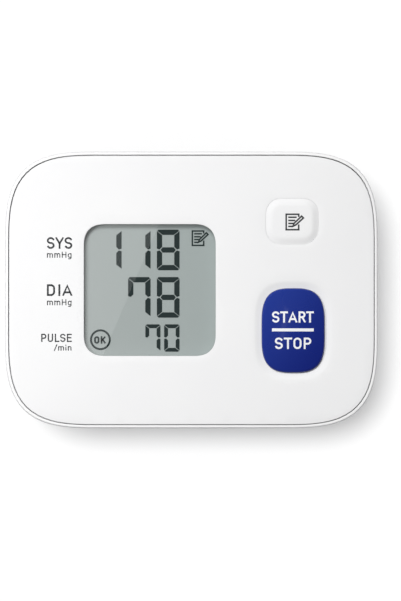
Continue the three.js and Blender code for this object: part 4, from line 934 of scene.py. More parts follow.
def key_cap(outline, walls, middle, height, steps):
    """A closed cap: its foot, the rings of its wall, and rings drawn in over its top to its
    middle, at the height that a function gives."""
    border = walls[-1][:, :2]
    tops = [middle + (border - middle) * share for share in np.linspace(1, 0, steps)[1:-1]]
    tops = [at_height(ring, height(*ring.T)) for ring in tops]
    return [loop_stack([at_height(outline(0), RIM - KEY_FOOT), *walls, *tops])]


blue_plastic = printed("blue_plastic", painted_blue_shade, 0.24, BLUE_NOISE, BLUE_COAT, 0.06, PRINT_RELIEF)
shoulder_height = start_height(*start_outline(-START_ROUND).T)
walls = []
for t in np.linspace(0, np.pi / 2, 9):
    fall = START_ROUND * ROUND_FLATTENED * (1 - np.sin(t))
    walls.append(at_height(start_outline(-START_ROUND * (1 - np.cos(t))), shoulder_height - fall))
start_key = piece("start_key_cap", key_cap(start_outline, walls, START_MIDDLE, start_height, 15),
                  blue_plastic, "start_key")
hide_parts("start_stop_button")
key_print = printed("key_print", two_inks(ink(252, 252, 253), ink(244, 245, 248)), 0.4, PRINT_NOISE)
ribbons = [edge for entry in KEY_WORDS for edge in word(*entry)]
ribbons.append(ribbon(np.linspace(*KEY_BAR, 33), KEY_BAR_WIDTH, square=False))
piece("start_key_words", film_parts(ribbons, sunk_in(start_height)), key_print, "start_key",
      merge=False)

# Memory key: a low square cap of the panel's white plastic with a bevelled edge, and a dark
# printed page and pencil on it.
MEMORY_TOP = 0.46 * MM
MEMORY_FALL = 0.05 * MM
MEMORY_BEVEL = 1.85 * MM
BEVEL_EASES = (0.12, 0.5)  # the shares of the bevel that curve, at its foot and at its top
MEMORY_PAGE = ((286.1, 214.0), (12.5, 15.4), 1.6)  # corner, size and stroke in pixels


def memory_height(x, y):
    """Height of the memory key's top, nearly flat: it falls by a twentieth of a millimetre to
    its edge with the square of the way."""
    u = (x - MEMORY_MIDDLE[0]) / MEMORY_HALF[0]
    v = (y - MEMORY_MIDDLE[1]) / MEMORY_HALF[1]
    return face_height(*MEMORY_MIDDLE) + MEMORY_TOP - MEMORY_FALL * (u**2 + v**2)


# The bevel's slope grows and fades evenly at its ends, from the panel's level up to the top.
share = np.linspace(0, 1, 25)
slope = np.minimum(np.minimum(share / BEVEL_EASES[0], (1 - share) / BEVEL_EASES[1]), 1)
climb = np.concatenate([[0], np.cumsum((slope[1:] + slope[:-1]) / 2)])
walls = []
for along, up in zip(share, climb / climb[-1]):
    ring = memory_outline(-MEMORY_BEVEL * along)
    walls.append(at_height(ring, face_height(*ring.T) * (1 - up) + memory_height(*ring.T) * up))
memory_key = piece("memory_key_cap",
                   key_cap(memory_outline, walls, MEMORY_MIDDLE, memory_height, 9), white_plastic,
                   "memory_key")
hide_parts("memory_button")
piece("memory_key_icon", film_parts(notepad(*MEMORY_PAGE), sunk_in(memory_height)), label_ink,
      "memory_key", merge=False)

# Battery cover: a strip of the left wall that slides off sideways, moulded in the same white
# plastic, with a ribbed grip for a finger and two tongues that hold it under the bay's roof.
COVER_THICKNESS = 1.5 * MM
COVER_EDGE = 0.3 * MM
GRIP_PROUD = 0.43 * MM
GRIP_HALF = (3.6 * MM, 3.0 * MM)
GRIP_MIDDLE = (-0.35 * MM, 7.35 * MM)  # across, and over the back
GRIP_CORNER = 0.9 * MM
GRIP_SLOPE = 0.45 * MM
GRIP_ROOM = 0.2 * MM
RIB_PITCH = 1.0 * MM
RIB_DEPTH = 0.3 * MM
RIB_SPAN = 2.25 * MM
RIB_START = 0.4  # how much further in than the pad's slope the grooves begin
RIB_WIDTH = 0.2
TONGUE_Y = 15.0 * MM
TONGUE_HALF = 3.0 * MM
TONGUE_ROWS = [(-0.5, 0.0), (3.0, 0.0), (3.7, 0.1), (3.9, 0.18), (4.0, 0.3)]  # mm, way and inset
TONGUE_THICKNESS = 1.0 * MM
TONGUE_DROP = 0.2 * MM
TONGUE_POWER = 2.2
COVER_STEPS = (0.6 * MM, 0.12 * MM)  # along the cover, and over its grip
COVER_RISES = (0.4 * MM, 0.08 * MM)  # the same, upwards
cover_low, cover_high = corners_of("battery_cover")


def smooth_step(share):
    """0 below 0, 1 above 1, and 3 x^2 - 2 x^3 between them."""
    share = np.clip(share, 0, 1)
    return share * share * (3 - 2 * share)


def left_wall(y, height):
    """Where the tub's left wall lies: its outline's power curve, drawn in by the side's inset."""
    reach = CORNER_REACH - side_inset(height)
    v = np.maximum(np.abs(y) - (half_height - CORNER_REACH), 0) / reach
    return CORNER_REACH - half_width - reach * (1 - v**CASE_POWER) ** (1 / CASE_POWER)


def grip_rise(y, height):
    """The grip's pad stands up by a smooth step of the distance in from its rounded outline,
    and cosine grooves run across it."""
    v, w = y - GRIP_MIDDLE[0], height - GRIP_MIDDLE[1]
    beyond = np.stack([np.abs(v) - GRIP_HALF[0], np.abs(w) - GRIP_HALF[1]]) + GRIP_CORNER
    outside = np.hypot(*np.maximum(beyond, 0)) + np.minimum(beyond.max(0), 0) - GRIP_CORNER
    groove = np.clip(np.cos(2 * np.pi * w / RIB_PITCH) + RIB_WIDTH, 0, 1) * (np.abs(w) < RIB_SPAN)
    groove = groove * RIB_DEPTH * smooth_step(-outside / GRIP_SLOPE - RIB_START)
    return smooth_step(-outside / GRIP_SLOPE) * GRIP_PROUD - groove


def cover_places(low, high, step, fine, grip, half):
    """Even places between two ends, finer at both edges and over the grip."""
    spans = ((low, low + COVER_EDGE, COVER_EDGE / 5), (high - COVER_EDGE, high, COVER_EDGE / 5),
             (grip - half - GRIP_ROOM, grip + half + GRIP_ROOM, fine))
    values = [np.linspace(low, high, int((high - low) / step) + 1)]
    values += [np.arange(*span) for span in spans]
    return np.unique(np.round(np.concatenate(values), 7))


across = cover_places(cover_low[1], cover_high[1], *COVER_STEPS, GRIP_MIDDLE[0], GRIP_HALF[0])
up = cover_places(cover_low[2] - BACK, cover_high[2] - BACK, *COVER_RISES, GRIP_MIDDLE[1],
                  GRIP_HALF[1])
y, z = np.meshgrid(across, up)
margins = [y - cover_low[1], cover_high[1] - y, z - up[0], up[-1] - z]
margin = COVER_EDGE - np.minimum(np.min(margins, 0), COVER_EDGE)
drop = COVER_EDGE - np.sqrt(COVER_EDGE**2 - margin**2)
wall = left_wall(y, z)
parts = [slab(*(np.stack([x, y, z + BACK], -1)
                for x in (wall + drop - grip_rise(y, z), wall + COVER_THICKNESS)))]
tongue_height = cover_high[2] - TONGUE_DROP - TONGUE_THICKNESS / 2
for middle in (-TONGUE_Y, TONGUE_Y):
    rings = []
    for way, inset in TONGUE_ROWS:
        ring = power_outline((TONGUE_HALF, TONGUE_THICKNESS / 2), TONGUE_THICKNESS / 3, TONGUE_POWER,
                             (middle, tongue_height), inset * MM, turn=4, along=(2, 4))
        rings.append(at_height(ring, COVER_THICKNESS - half_width + way * MM)[:, [2, 0, 1]])
    parts.append(loop_stack(rings))
battery_cover = piece("battery_cover_shell", parts, tub_plastic, "battery_door")
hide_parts("battery_cover")

# Cuff: a padded band of cloth round the wrist, sewn flat and bent to a loop. It is worked out
# flat, by the way along the band, the way across and the height over its middle, then bent.
LOOP_HALF = np.array([31.0, 25.25]) * MM
LOOP_MIDDLE = 26.75 * MM
LOOP_POWER = 2.4
CUFF_ENDS = (22.0, 410.0)  # degrees round the loop
SIDE_SEAM = 285.0
TAB_SEAM = 328.0
CLIMB = (350.0, 374.5)  # where the tab climbs onto the band's start
BAND_HALF = 2.0 * MM
TAB_INNER = 3.4 * MM
TAB_OUTER = 5.2 * MM
CLOTH_HALF_WIDTH = 25.45 * MM
START_CORNER_RADIUS = 5.5 * MM
TAB_CORNER_RADIUS = 9.0 * MM
PILLOW = 5.0 * MM  # how far in from the edge the padding is full
EDGE_SHARE = 0.45
SEAM_DEPTH = 0.42 * MM
SEAM_WIDTH = 0.7 * MM
FLOOR_EASE = 0.2 * MM
TURN_STEP = 0.1  # degrees
CLOTH_STEP = 0.7 * MM
CLOTH_ROWS = 55
FLAP_BEND = (290.0, 323.0)
TAB_BEND = (332.0, 368.0)


def loop_point(degrees):
    """A point of the loop in the x and z plane and the direction out of it there, on the curve
    |x/a|^p + |z/b|^p = 1."""
    turn = np.radians(degrees)
    ring = np.stack([np.cos(turn), np.sin(turn)])
    ring = ring / (np.abs(ring) ** LOOP_POWER).sum(0) ** (1 / LOOP_POWER)
    spread = (slice(None), *[None] * (ring.ndim - 1))
    out = np.sign(ring) * np.abs(ring) ** (LOOP_POWER - 1) / LOOP_HALF[spread]
    return ring * LOOP_HALF[spread] + np.array([0, LOOP_MIDDLE])[spread], out / np.hypot(*out)


turns = np.arange(CUFF_ENDS[0], CUFF_ENDS[1] + TURN_STEP / 2, TURN_STEP)
ways = np.concatenate([[0], np.cumsum(np.hypot(*np.diff(loop_point(turns)[0], axis=1)))])
CUFF_LENGTH = ways[-1]
way_at = lambda degrees: float(np.interp(degrees, turns, ways))
turn_at = lambda way: np.interp(way, ways, turns)
both_ends = lambda way: ((way, START_CORNER_RADIUS), (CUFF_LENGTH - way, TAB_CORNER_RADIUS))


def edge_distance(way, y):
    """How far a place lies inside the band's outline, a long rectangle with round corners."""
    side = CLOTH_HALF_WIDTH - np.abs(y)
    found = side
    for end, radius in both_ends(way):
        round_part = radius - np.hypot(radius - end, radius - side)
        found = np.minimum(found, np.where((end < radius) & (side < radius), round_part, end))
    return np.maximum(found, 0)


def cloth_height(way, y, side, folds=0.0):
    """Height of a face, side 1 outer and -1 inner: even round the band, and stepping out to the
    thin tab where it laps over the band's start. The padding swells with the sine of the way in
    from the edge, and narrows in a groove at the cross seams."""
    climb = smooth_step((turn_at(way) - CLIMB[0]) / (CLIMB[1] - CLIMB[0]))
    inner = -BAND_HALF + (TAB_INNER + BAND_HALF) * climb
    outer = BAND_HALF + (TAB_OUTER - BAND_HALF) * climb
    swell = np.sin(np.clip(edge_distance(way, y) / PILLOW, 0, 1) * np.pi / 2)
    half = (outer - inner) / 2 * (EDGE_SHARE + (1 - EDGE_SHARE) * swell)
    for seam in (SIDE_SEAM, TAB_SEAM):
        half = half - SEAM_DEPTH * np.exp(-(((way - way_at(seam)) / SEAM_WIDTH) ** 2)) * swell
    return (inner + outer) / 2 + side * (half - folds * swell)


def wrap(way, y, height):
    """Bends flat cloth round the loop. Where it would go under the table it is pressed flat, by
    the smooth maximum (z + (z^2 + e^2)^(1/2)) / 2."""
    place, out = loop_point(turn_at(way))
    x, z = place + out * height
    return np.stack([x, y + np.zeros_like(x), (z + np.hypot(z, FLOOR_EASE)) / 2], -1)


FOLD_WAVES = 9
FOLD_DEPTH = 0.16 * MM
# A wave's pitch in millimetres, its slant, phase and bend, each drawn between two values.
FOLD_SPREADS = ((5.5, 15.0), (-0.22, 0.22), (0, 2 * np.pi), (0.3, 1.2))
FOLD_BENDS = 2.4  # over half the width
OUTER_FOLDS = 0.3  # the outer face is smoother
waves = np.random.default_rng(7)
fold_waves = np.stack([waves.uniform(low, high, FOLD_WAVES) for low, high in FOLD_SPREADS], 1)


def folds(way, y):
    """Shallow creases across the band: a sum of sines along it, slanted and bent a little."""
    total = 0
    for pitch, slant, phase, bend in fold_waves:
        run = (way + slant * y) / (pitch * MM) * 2 * np.pi + phase
        total = total + np.sin(run + bend * np.sin(y / CLOTH_HALF_WIDTH * FOLD_BENDS + phase))
    return FOLD_DEPTH * total / np.sqrt(FOLD_WAVES)


def half_width_at(way):
    """Half the cloth's width: full along the band, and round at its two ends."""
    half = np.full(np.shape(way), CLOTH_HALF_WIDTH)
    for end, radius in both_ends(way):
        rise = np.clip(radius - end, 0, radius)
        half = np.minimum(half, CLOTH_HALF_WIDTH - radius + np.sqrt(radius**2 - rise**2))
    return half


def cloth_part(start, end):
    """The band between two ways, as a closed sheet, and its flat places. The columns crowd
    towards a round end as cosines do."""
    way = np.linspace(start, end, int((end - start) / CLOTH_STEP) + 1)
    eased = 1 - np.cos(np.linspace(0, np.pi / 2, 14))
    if start == 0:
        way = np.union1d(way[way >= START_CORNER_RADIUS], START_CORNER_RADIUS * eased)
    if end == CUFF_LENGTH:
        way = np.union1d(way[end - way >= TAB_CORNER_RADIUS], end - TAB_CORNER_RADIUS * eased)
    s, v = np.meshgrid(way, np.sin(np.linspace(-1, 1, CLOTH_ROWS) * np.pi / 2))
    y = v * half_width_at(s)
    outer = wrap(s, y, cloth_height(s, y, 1, OUTER_FOLDS * folds(s, y)))
    inner = wrap(s, y, cloth_height(s, y, -1, np.abs(folds(s + CUFF_LENGTH, y))))
    return slab(outer, inner), np.tile(np.stack([s, y], -1).reshape(-1, 2), (2, 1))


WAVER = 1.5  # how far the fluff pushes the threads, in radians
FLUFF_NOISE = (1500.0, 4.0)
FLUFF_SPREAD = 0.1
CLOTH_ROUGHNESS = 0.85
SHEEN = {"Sheen Weight": 0.25, "Sheen Roughness": 0.5}


def woven(name, colour, deeper, pitch, depth, fuzz):
    """Cloth: rows and columns of threads, each a rounded bump, with fluff over them. The UV map
    is the flat cloth in metres."""
    material, shade = empty_material(name)
    place = shade.add("UVMap", uv_map="cloth")
    fluff = shade.add("TexCoord", output="Object").noise(*FLUFF_NOISE)
    turn = 2 * np.pi / pitch
    weft, warp = (shade.reckon("SINE", place.axis(i) * turn + fluff * WAVER) for i in (0, 1))
    height = (weft * warp + 1) * 0.5 * (1 - fuzz) + fluff * fuzz
    sockets = {"Base Color": height.between(deeper, colour),
               "Roughness": fluff * FLUFF_SPREAD + CLOTH_ROUGHNESS, **SHEEN}
    finish_surface(shade, sockets, height, depth)
    return material


def attach(made, section):
    """Lets a piece of the band follow the housing, and bakes the place of a side or tab piece into its
    points; their hinge points are worked out but not used.
    """
    hinges = lambda bend: ((x, 0, z) for x, z in (loop_point(degrees)[0] for degrees in bend))
    if section == "band":
        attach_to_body(made, "housing")
    elif section == "side":
        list(hinges(FLAP_BEND))
        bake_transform(made)
    else:
        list(hinges(TAB_BEND))
        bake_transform(made)


outer_cloth = woven("outer_cloth", ink(92, 97, 108), ink(66, 70, 80), 0.55 * MM, 0.09 * MM, 0.55)
side_way, tab_way = way_at(SIDE_SEAM), way_at(TAB_SEAM)
SECTIONS = [("band", 0.0, side_way), ("side", side_way, tab_way), ("tab", tab_way, CUFF_LENGTH)]
cloths = {}
for section, start, end in SECTIONS:
    part, flat = cloth_part(start, end)
    cloths[section] = piece("cuff_" + section + "_cloth", [part], outer_cloth,
                            flat=flat, merge=False)
    attach(cloths[section], section)
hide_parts("cuff_outer_cloth", "cuff_inner_cloth")
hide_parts("cuff_side")
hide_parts("cuff_tail")

# Binding: a woven tape folded round the cloth's edge and sewn through with one row of stitches,
# which pull it in a little at every stitch.
TAPE_WIDTH = 4.0 * MM
TAPE_THICKNESS = 0.45 * MM
TAPE_EDGE = 0.55 * MM
TAPE_SUNK = 0.1 * MM
TAPE_INSETS = np.array([1, 0.985, 0.93, 0.86, 0.8, 0.75, 0.7, 0.62, 0.5, 0.36, 0.22, 0.1, 0])
TAPE_LIFTS = np.array([0.1, 0.7, *[1] * 11])
STITCH_PITCH = 2.6 * MM
STITCH_INSET = 3.0 * MM
STITCH_HALF = np.array([0.82, 0.2, 0.14]) * MM
PULL = 0.16 * MM
PULL_WIDTH = 0.5 * MM
tape_cloth = woven("binding_tape", ink(58, 61, 68), ink(40, 42, 48), 0.42 * MM, 0.05 * MM, 0.2)
thread = woven("stitch_thread", ink(70, 74, 82), ink(50, 53, 60), 0.3 * MM, 0.03 * MM, 0.2)


def looked_up(at, known, values):
    """The rows of values, known at some distances, at other ones between them."""
    return np.stack([np.interp(at, known, values[:, i]) for i in (0, 1)], 1)


def edge_path(section, start, end, step):
    """Even points along the outline of one part of the band, flat: way and y, the directions
    along the edge and in from it, and the distance gone. A straight stretch, a quarter circle, a
    straight end, and back: the tab's is like that of the band's start, turned round."""
    straight = lambda *ends: np.linspace(*np.array(ends, float), 4000)
    low, high = -CLOTH_HALF_WIDTH, CLOTH_HALF_WIDTH
    r, far = TAB_CORNER_RADIUS, CUFF_LENGTH - start
    if section == "band":
        r, far = START_CORNER_RADIUS, end
    turn = np.linspace(0, np.pi / 2, 400)
    first = np.stack([r - r * np.sin(turn), low + r - r * np.cos(turn)], 1)
    runs = [np.concatenate([straight((far, low), (r, low)), first,
                            straight((0, low + r), (0, high - r)), first[::-1] * (1, -1),
                            straight((r, high), (far, high))])]
    if section == "tab":
        runs = [(CUFF_LENGTH, 0) - runs[0]]
    if section == "side":
        runs = [straight((end, low), (start, low)), straight((start, high), (end, high))]
    for run in runs:
        gone = np.concatenate([[0], np.cumsum(np.hypot(*np.diff(run, axis=0).T))])
        along = np.linspace(0, gone[-1], max(int(gone[-1] / step), 2) + 1)
        reach = STITCH_PITCH / 50
        tangent = looked_up(along + reach, gone, run) - looked_up(along - reach, gone, run)
        tangent /= np.linalg.norm(tangent, axis=1, keepdims=True)
        yield looked_up(along, gone, run), tangent, tangent[:, ::-1] * (1, -1), along


def tape_part(path, inward, along):
    """The tape's C-shaped section at each point of the edge: out over one face, a half ellipse
    round the edge, back over the other face, and in again along the cloth."""
    def on_cloth(side, share, lift):
        """Points over a face, in from the edge by a share of the tape's width."""
        spot = path + inward * share * TAPE_WIDTH
        return np.column_stack([spot, cloth_height(*spot.T, side) + side * lift])

    wave = 0.5 + 0.5 * np.cos(2 * np.pi * along / STITCH_PITCH)
    rows = []
    for share, lift in zip(TAPE_INSETS, TAPE_LIFTS):
        pull = PULL * np.exp(-(((share * TAPE_WIDTH - STITCH_INSET) / PULL_WIDTH) ** 2)) * wave
        rows.append((share, lift * TAPE_THICKNESS - pull))
    outer, inner = ([on_cloth(side, *row) for row in rows] for side in (1, -1))
    top, bottom = (cloth_height(*path.T, side) + side * TAPE_THICKNESS for side in (1, -1))
    bend = []
    for t in np.linspace(0, np.pi, 9)[1:-1]:
        height = (top + bottom) / 2 + (top - bottom) / 2 * np.cos(t)
        bend.append(np.column_stack([path - inward * TAPE_EDGE * np.sin(t), height]))
    under = [on_cloth(-1, share, -TAPE_SUNK) for share in TAPE_INSETS[::3]]
    under += [on_cloth(1, share, -TAPE_SUNK) for share in TAPE_INSETS[::-3]]
    flat = np.stack(outer + bend + inner[::-1] + under, 1)
    return wrap(*np.moveaxis(flat, -1, 0)), flat[..., :2]


# A stitch is a bead: six rings of six points on an ellipsoid with cut ends.
BEAD = 6
lengths = np.linspace(-1, 1, BEAD)
around = circle(BEAD)
bead = np.column_stack([np.repeat(lengths, BEAD),
                        (np.sqrt(1.001 - lengths**2)[:, None, None] * around).reshape(-1, 2)])
bead = bead * STITCH_HALF
bead_index = np.arange(BEAD**2).reshape(BEAD, BEAD)
bead_faces = quads(bead_index, close=True)
bead_ends = np.stack([bead_index[0, ::-1], bead_index[-1]])
bead_around = np.tile(np.linspace(0, 2 * np.pi, BEAD, endpoint=False), BEAD) * STITCH_HALF[1]
bead_flat = np.stack([bead[:, 0] + bead_around, bead_around], 1)


def stitch_parts(path, tangent, inward, along):
    """A low bead of thread on both faces between every two holes, in one row."""
    at = (np.arange(int(along[-1] / STITCH_PITCH)) + 0.5) * STITCH_PITCH
    spot, run, into = (looked_up(at, along, array)[:, None] for array in (path, tangent, inward))
    flat = spot + into * STITCH_INSET + run * bead[:, :1] + into * bead[:, 1:2]
    first = len(bead) * np.arange(len(at))[:, None, None]
    faces = [(bead_faces + first).reshape(-1, 4), (bead_ends + first).reshape(-1, BEAD)]
    for side in (1, -1):
        base = cloth_height(flat[..., 0], flat[..., 1], side) + side * TAPE_THICKNESS
        yield wrap(flat[..., 0], flat[..., 1], base + bead[:, 2]).reshape(-1, 3), faces


for section, start, end in SECTIONS:
    tape, flats, threads = [], [], []
    for path, tangent, inward, along in edge_path(section, start, end, STITCH_PITCH / 7):
        rings, flat = tape_part(path, inward, along)
        points, faces = loop_stack(rings, caps=False)
        ring = np.arange(rings.shape[1])[::-1]
        tape.append((points, [*faces, np.stack([ring, len(points) - 1 - ring])]))
        flats.append(flat.reshape(-1, 2))
        threads += stitch_parts(path, tangent, inward, along)
    binding = piece("cuff_" + section + "_binding", tape, tape_cloth,
                    flat=np.concatenate(flats), merge=False, sharp=70)
    attach(binding, section)
    beads = sum(len(points) for points, _ in threads) // len(bead)
    stitches = piece("cuff_" + section + "_stitches", threads, thread,
                     flat=np.tile(bead_flat, (beads, 1)), merge=False, sharp=180)
    attach(stitches, section)
    if section == "band":
        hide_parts("cuff_binding_1", "cuff_binding_2")

# Hook tape: a stiff strip of small nylon hooks on the inner face of the tab, which grips the
# brushed cloth of the band.
HOOK_SPAN = (382.0, 407.5)
HOOK_HALF_WIDTH = 21.0 * MM
HOOK_BASE = 0.3 * MM
HOOK_HEIGHT = 0.75 * MM
HOOK_STEM = 0.7  # share of the height that is straight
HOOK_CURL = 0.8  # of half a turn
HOOK_BEND = 0.25 * MM
HOOK_RADIUS = 0.1 * MM
HOOK_FOOT = 0.9  # share of the base strip's thickness at which a hook starts
HOOK_FLAT = 0.9  # the hooks' wire is a little flattened
HOOK_RINGS = 7
HOOK_SIDES = 4
HOOK_CELLS = 40  # of the base strip, each way
HOOK_PITCH = 1.35 * MM
hook_plastic = moulded("hook_nylon", ink(48, 50, 55), ink(40, 42, 46), 0.5)
way = np.linspace(way_at(HOOK_SPAN[0]), way_at(HOOK_SPAN[1]), HOOK_CELLS)
s, y = np.meshgrid(way, np.linspace(-HOOK_HALF_WIDTH, HOOK_HALF_WIDTH, HOOK_CELLS))
face = cloth_height(s, y, -1)
parts = [slab(wrap(s, y, face), wrap(s, y, face - HOOK_BASE))]
turn = np.linspace(0, 1, HOOK_RINGS)[:, None]
curl = np.maximum(turn - 0.5, 0) * 2 * np.pi * HOOK_CURL
rise = np.minimum(turn * 2, 1) * HOOK_HEIGHT * HOOK_STEM + np.sin(curl) * HOOK_HEIGHT * (1 - HOOK_STEM)
ring = circle(HOOK_SIDES) * HOOK_RADIUS
bend = (1 - np.cos(curl)) * HOOK_BEND + ring[:, 0] * HOOK_FLAT
hook = np.stack([bend, ring[:, 1] + 0 * turn, rise + 0 * ring[:, 0]], -1).reshape(-1, 3)
hook_index = np.arange(len(hook)).reshape(HOOK_RINGS, HOOK_SIDES)
hook_faces = np.concatenate([quads(hook_index, close=True), hook_index[:1, ::-1], hook_index[-1:]])
rows = np.arange(way[0] + HOOK_PITCH, way[-1] - HOOK_PITCH / 2, HOOK_PITCH)
columns = np.arange(-HOOK_HALF_WIDTH + HOOK_PITCH / 2, HOOK_HALF_WIDTH, HOOK_PITCH)
s, y = (grid.ravel()[:, None] for grid in np.meshgrid(rows, columns))
facing = np.where(np.arange(len(s)) % 2, 1, -1)[:, None]
base = cloth_height(s, y, -1) - HOOK_BASE * HOOK_FOOT
points = wrap(s + facing * hook[:, 0], y + hook[:, 1], base - hook[:, 2])
faces = (hook_faces + len(hook) * np.arange(len(s))[:, None, None]).reshape(-1, 4)
parts.append((points.reshape(-1, 3), [faces]))
hook_tape = piece("hook_tape", parts, hook_plastic, "cuff_tab", merge=False)
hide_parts("hook_patch")

# Saddle: a block of dark ABS between the housing and the cuff, screwed to the housing's back. Its
# sides are drawn in, and its underside lies on the band.
SADDLE_CORNER = 6.0 * MM
SADDLE_POWER = 2.5
SADDLE_WAIST = 0.14 * MM
SADDLE_EDGE = 0.45 * MM  # how far the topmost tenth is rounded in
SADDLE_NECK = 0.62  # share of the height that is drawn in
SADDLE_SUNK = 0.7 * MM
HEAD_RUN = BACK / 8  # how far the heads' holes reach below the housing
PLATE_HEAD = 1.5 * MM
PLATE_HEAD_HEIGHT = 1.1 * MM
saddle_low, saddle_high = corners_of("cuff_plate")
saddle_plastic = moulded("saddle_plastic", ink(76, 79, 86), ink(68, 71, 78), 0.5)


def saddle_ring(inset, lift):
    """An outline of the saddle, at a share of the way from the band's outer curve up to its top.
    The curve is |x/a|^p + |z/b|^p = 1, the loop's own, larger by half the band."""
    ring = power_outline(saddle_high[:2], SADDLE_CORNER, SADDLE_POWER, inset=inset, turn=12)
    reach = LOOP_HALF + BAND_HALF
    curve = (1 - np.abs(ring[:, 0] / reach[0]) ** LOOP_POWER) ** (1 / LOOP_POWER)
    foot = LOOP_MIDDLE + reach[1] * curve - SADDLE_SUNK
    return at_height(ring, foot + (BACK - HAIR - foot) * lift)


lifts = np.array([*np.linspace(0, 0.9, 10), 0.925, 0.95, 0.97, 0.985, 1])
waists = SADDLE_WAIST * np.sin(np.pi * np.minimum(lifts / SADDLE_NECK, 1)) ** 2
waists += SADDLE_EDGE * (1 - np.sqrt(1 - np.clip(lifts * 10 - 9, 0, 1) ** 2))
saddle = piece("saddle_block", [loop_stack([saddle_ring(*row) for row in zip(waists, lifts)])],
               saddle_plastic, "housing", merge=False)
head_top = corners_of("cuff_plate_screw_1")[0][2] + PLATE_HEAD_HEIGHT - BACK
rows = [(PLATE_HEAD + HAIR, -HEAD_RUN), (PLATE_HEAD + HAIR, head_top), (PLATE_HOLE, head_top),
        (PLATE_HOLE, OVERRUN)]
holes = [upright(nozzle, saddle_low[2] - OVERRUN - BACK, OVERRUN, NOZZLE_HOLE)]
holes += [stepped(middle, rows) for middle in plate_screws]
carve(saddle, holes, "DIFFERENCE")
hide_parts("cuff_plate")

# Dry cells: two plain AAA cells, each a steel can in a printed plastic sleeve that is shrunk on
# over the edges of both ends, with a raised button at the plus end. Profiles are in millimetres.
CELL_LENGTH = 44.5 * MM
SLEEVE = [(4.35, 0.16), (4.5, 0.05), (4.8, 0.0), (5.08, 0.1), (5.22, 0.34), (5.25, 0.7)]
CAN = [(0.0, 0.12), (3.9, 0.12), (4.1, 0.18), (4.2, 0.35), (4.2, 43.2), (4.1, 43.42), (3.9, 43.5),
       (2.2, 43.5), (1.95, 43.6), (1.9, 43.75), (1.9, 44.25), (1.8, 44.42), (1.6, 44.5), (0.0, 44.5)]
SLEEVE_TOP = 43.6
SLEEVE_BORE = [(4.25, SLEEVE_TOP - 0.3), (4.25, 0.3)]
BAND_FROM = 14.2 * MM  # from the middle, where the sleeve's pale ends begin
ROUND_SIDES = 72
SLEEVE_NOISE = (900.0, 3.0)
SLEEVE_COAT = {"Coat Weight": 0.5, "Coat Roughness": 0.08}
SLEEVE_RELIEF = 0.004 * MM
BRUSH_SCALE = (60.0, 4000.0, 4000.0)  # long along x
BRUSH_SPREAD = 0.12
BRUSH_DEPTH = 0.002 * MM
PATCH_NOISE = (200.0, 3.0)


def plated(name, colour, deeper, roughness):
    """Metal with fine brush marks along x, stretched noise, and faint darker patches."""
    material, shade = empty_material(name)
    place = shade.add("TexCoord", output="Object")
    brush = shade.add("Mapping", {"Vector": place, "Scale": BRUSH_SCALE}).noise(1.0)
    sockets = {"Base Color": place.noise(*PATCH_NOISE).between(colour, deeper), "Metallic": 1.0,
               "Roughness": brush * BRUSH_SPREAD + roughness}
    finish_surface(shade, sockets, brush, BRUSH_DEPTH)
    return material


def sleeve_tone(place, fine):
    """The sleeve is dark in its middle and pale beyond two sharp lines."""
    pale = place.reckon("GREATER_THAN", place.reckon("ABSOLUTE", place.axis(1)), BAND_FROM)
    return pale.between(fine.between(ink(46, 62, 58), ink(38, 53, 50)), ink(196, 199, 198))


def turned(profile, start, way):
    """A profile of radii and ways along the y axis, in millimetres, turned round it."""
    radius, run = (np.array(profile) * MM).T[..., None]
    ring = circle(ROUND_SIDES)
    x, z = way * ring[:, 1] * radius, ring[:, 0] * radius
    return [loop_stack(start + np.stack([x, way * run + 0 * x, z], -1), caps=False)]


steel = plated("steel", ink(196, 198, 202), ink(176, 178, 184), 0.22)
sleeve_print = printed("sleeve_print", sleeve_tone, 0.22, SLEEVE_NOISE, SLEEVE_COAT,
                       depth=SLEEVE_RELIEF)
sleeve = [*SLEEVE, *((r, SLEEVE_TOP - a) for r, a in SLEEVE[::-1]), *SLEEVE_BORE, SLEEVE[0]]
for number, way in (("1", 1), ("2", -1)):
    start = sum(corners_of("battery_" + number)) / 2 - (0, way * CELL_LENGTH / 2, 0)
    cell = piece("cell_" + number + "_sleeve", turned(sleeve, start, way), sleeve_print, "housing")
    piece("cell_" + number + "_can", turned(CAN, start, way), steel, "housing")
    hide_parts("battery_" + number)

# Contact springs: cones of plated spring wire, riveted to the contact plates, that press on the
# cells' flat ends.
SPRING_TURNS = 4.5
SPRING_WIRE = 0.28 * MM
SPRING_REACH = 3.45 * MM
SPRING_TIP = 2.1 * MM
SPRING_EASE = 0.08  # share of the wire that lies flat at each end
share = np.linspace(0, 1, 260)[:, None]
turn = 2 * np.pi * SPRING_TURNS * share
wire = circle(10) * SPRING_WIRE
radius = SPRING_REACH + (SPRING_TIP - SPRING_REACH) * share + wire[:, 0]
climb = np.clip(share * (1 + 2 * SPRING_EASE) - SPRING_EASE, 0, 1)
for number, way in (("1", 1), ("2", -1)):
    low, high = corners_of("contact_spring_" + number)
    middle = (low + high) / 2
    length = high[1] - low[1] - 2 * SPRING_WIRE
    along = middle[1] + way * (length * (climb - 0.5) + wire[:, 1])
    tube = [middle[0] + radius * np.cos(turn), along, middle[2] + radius * np.sin(turn)]
    spring = piece("spring_" + number, [loop_stack(np.stack(tube, -1))], steel, "housing",
                   merge=False, sharp=60)
    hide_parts("contact_spring_" + number)

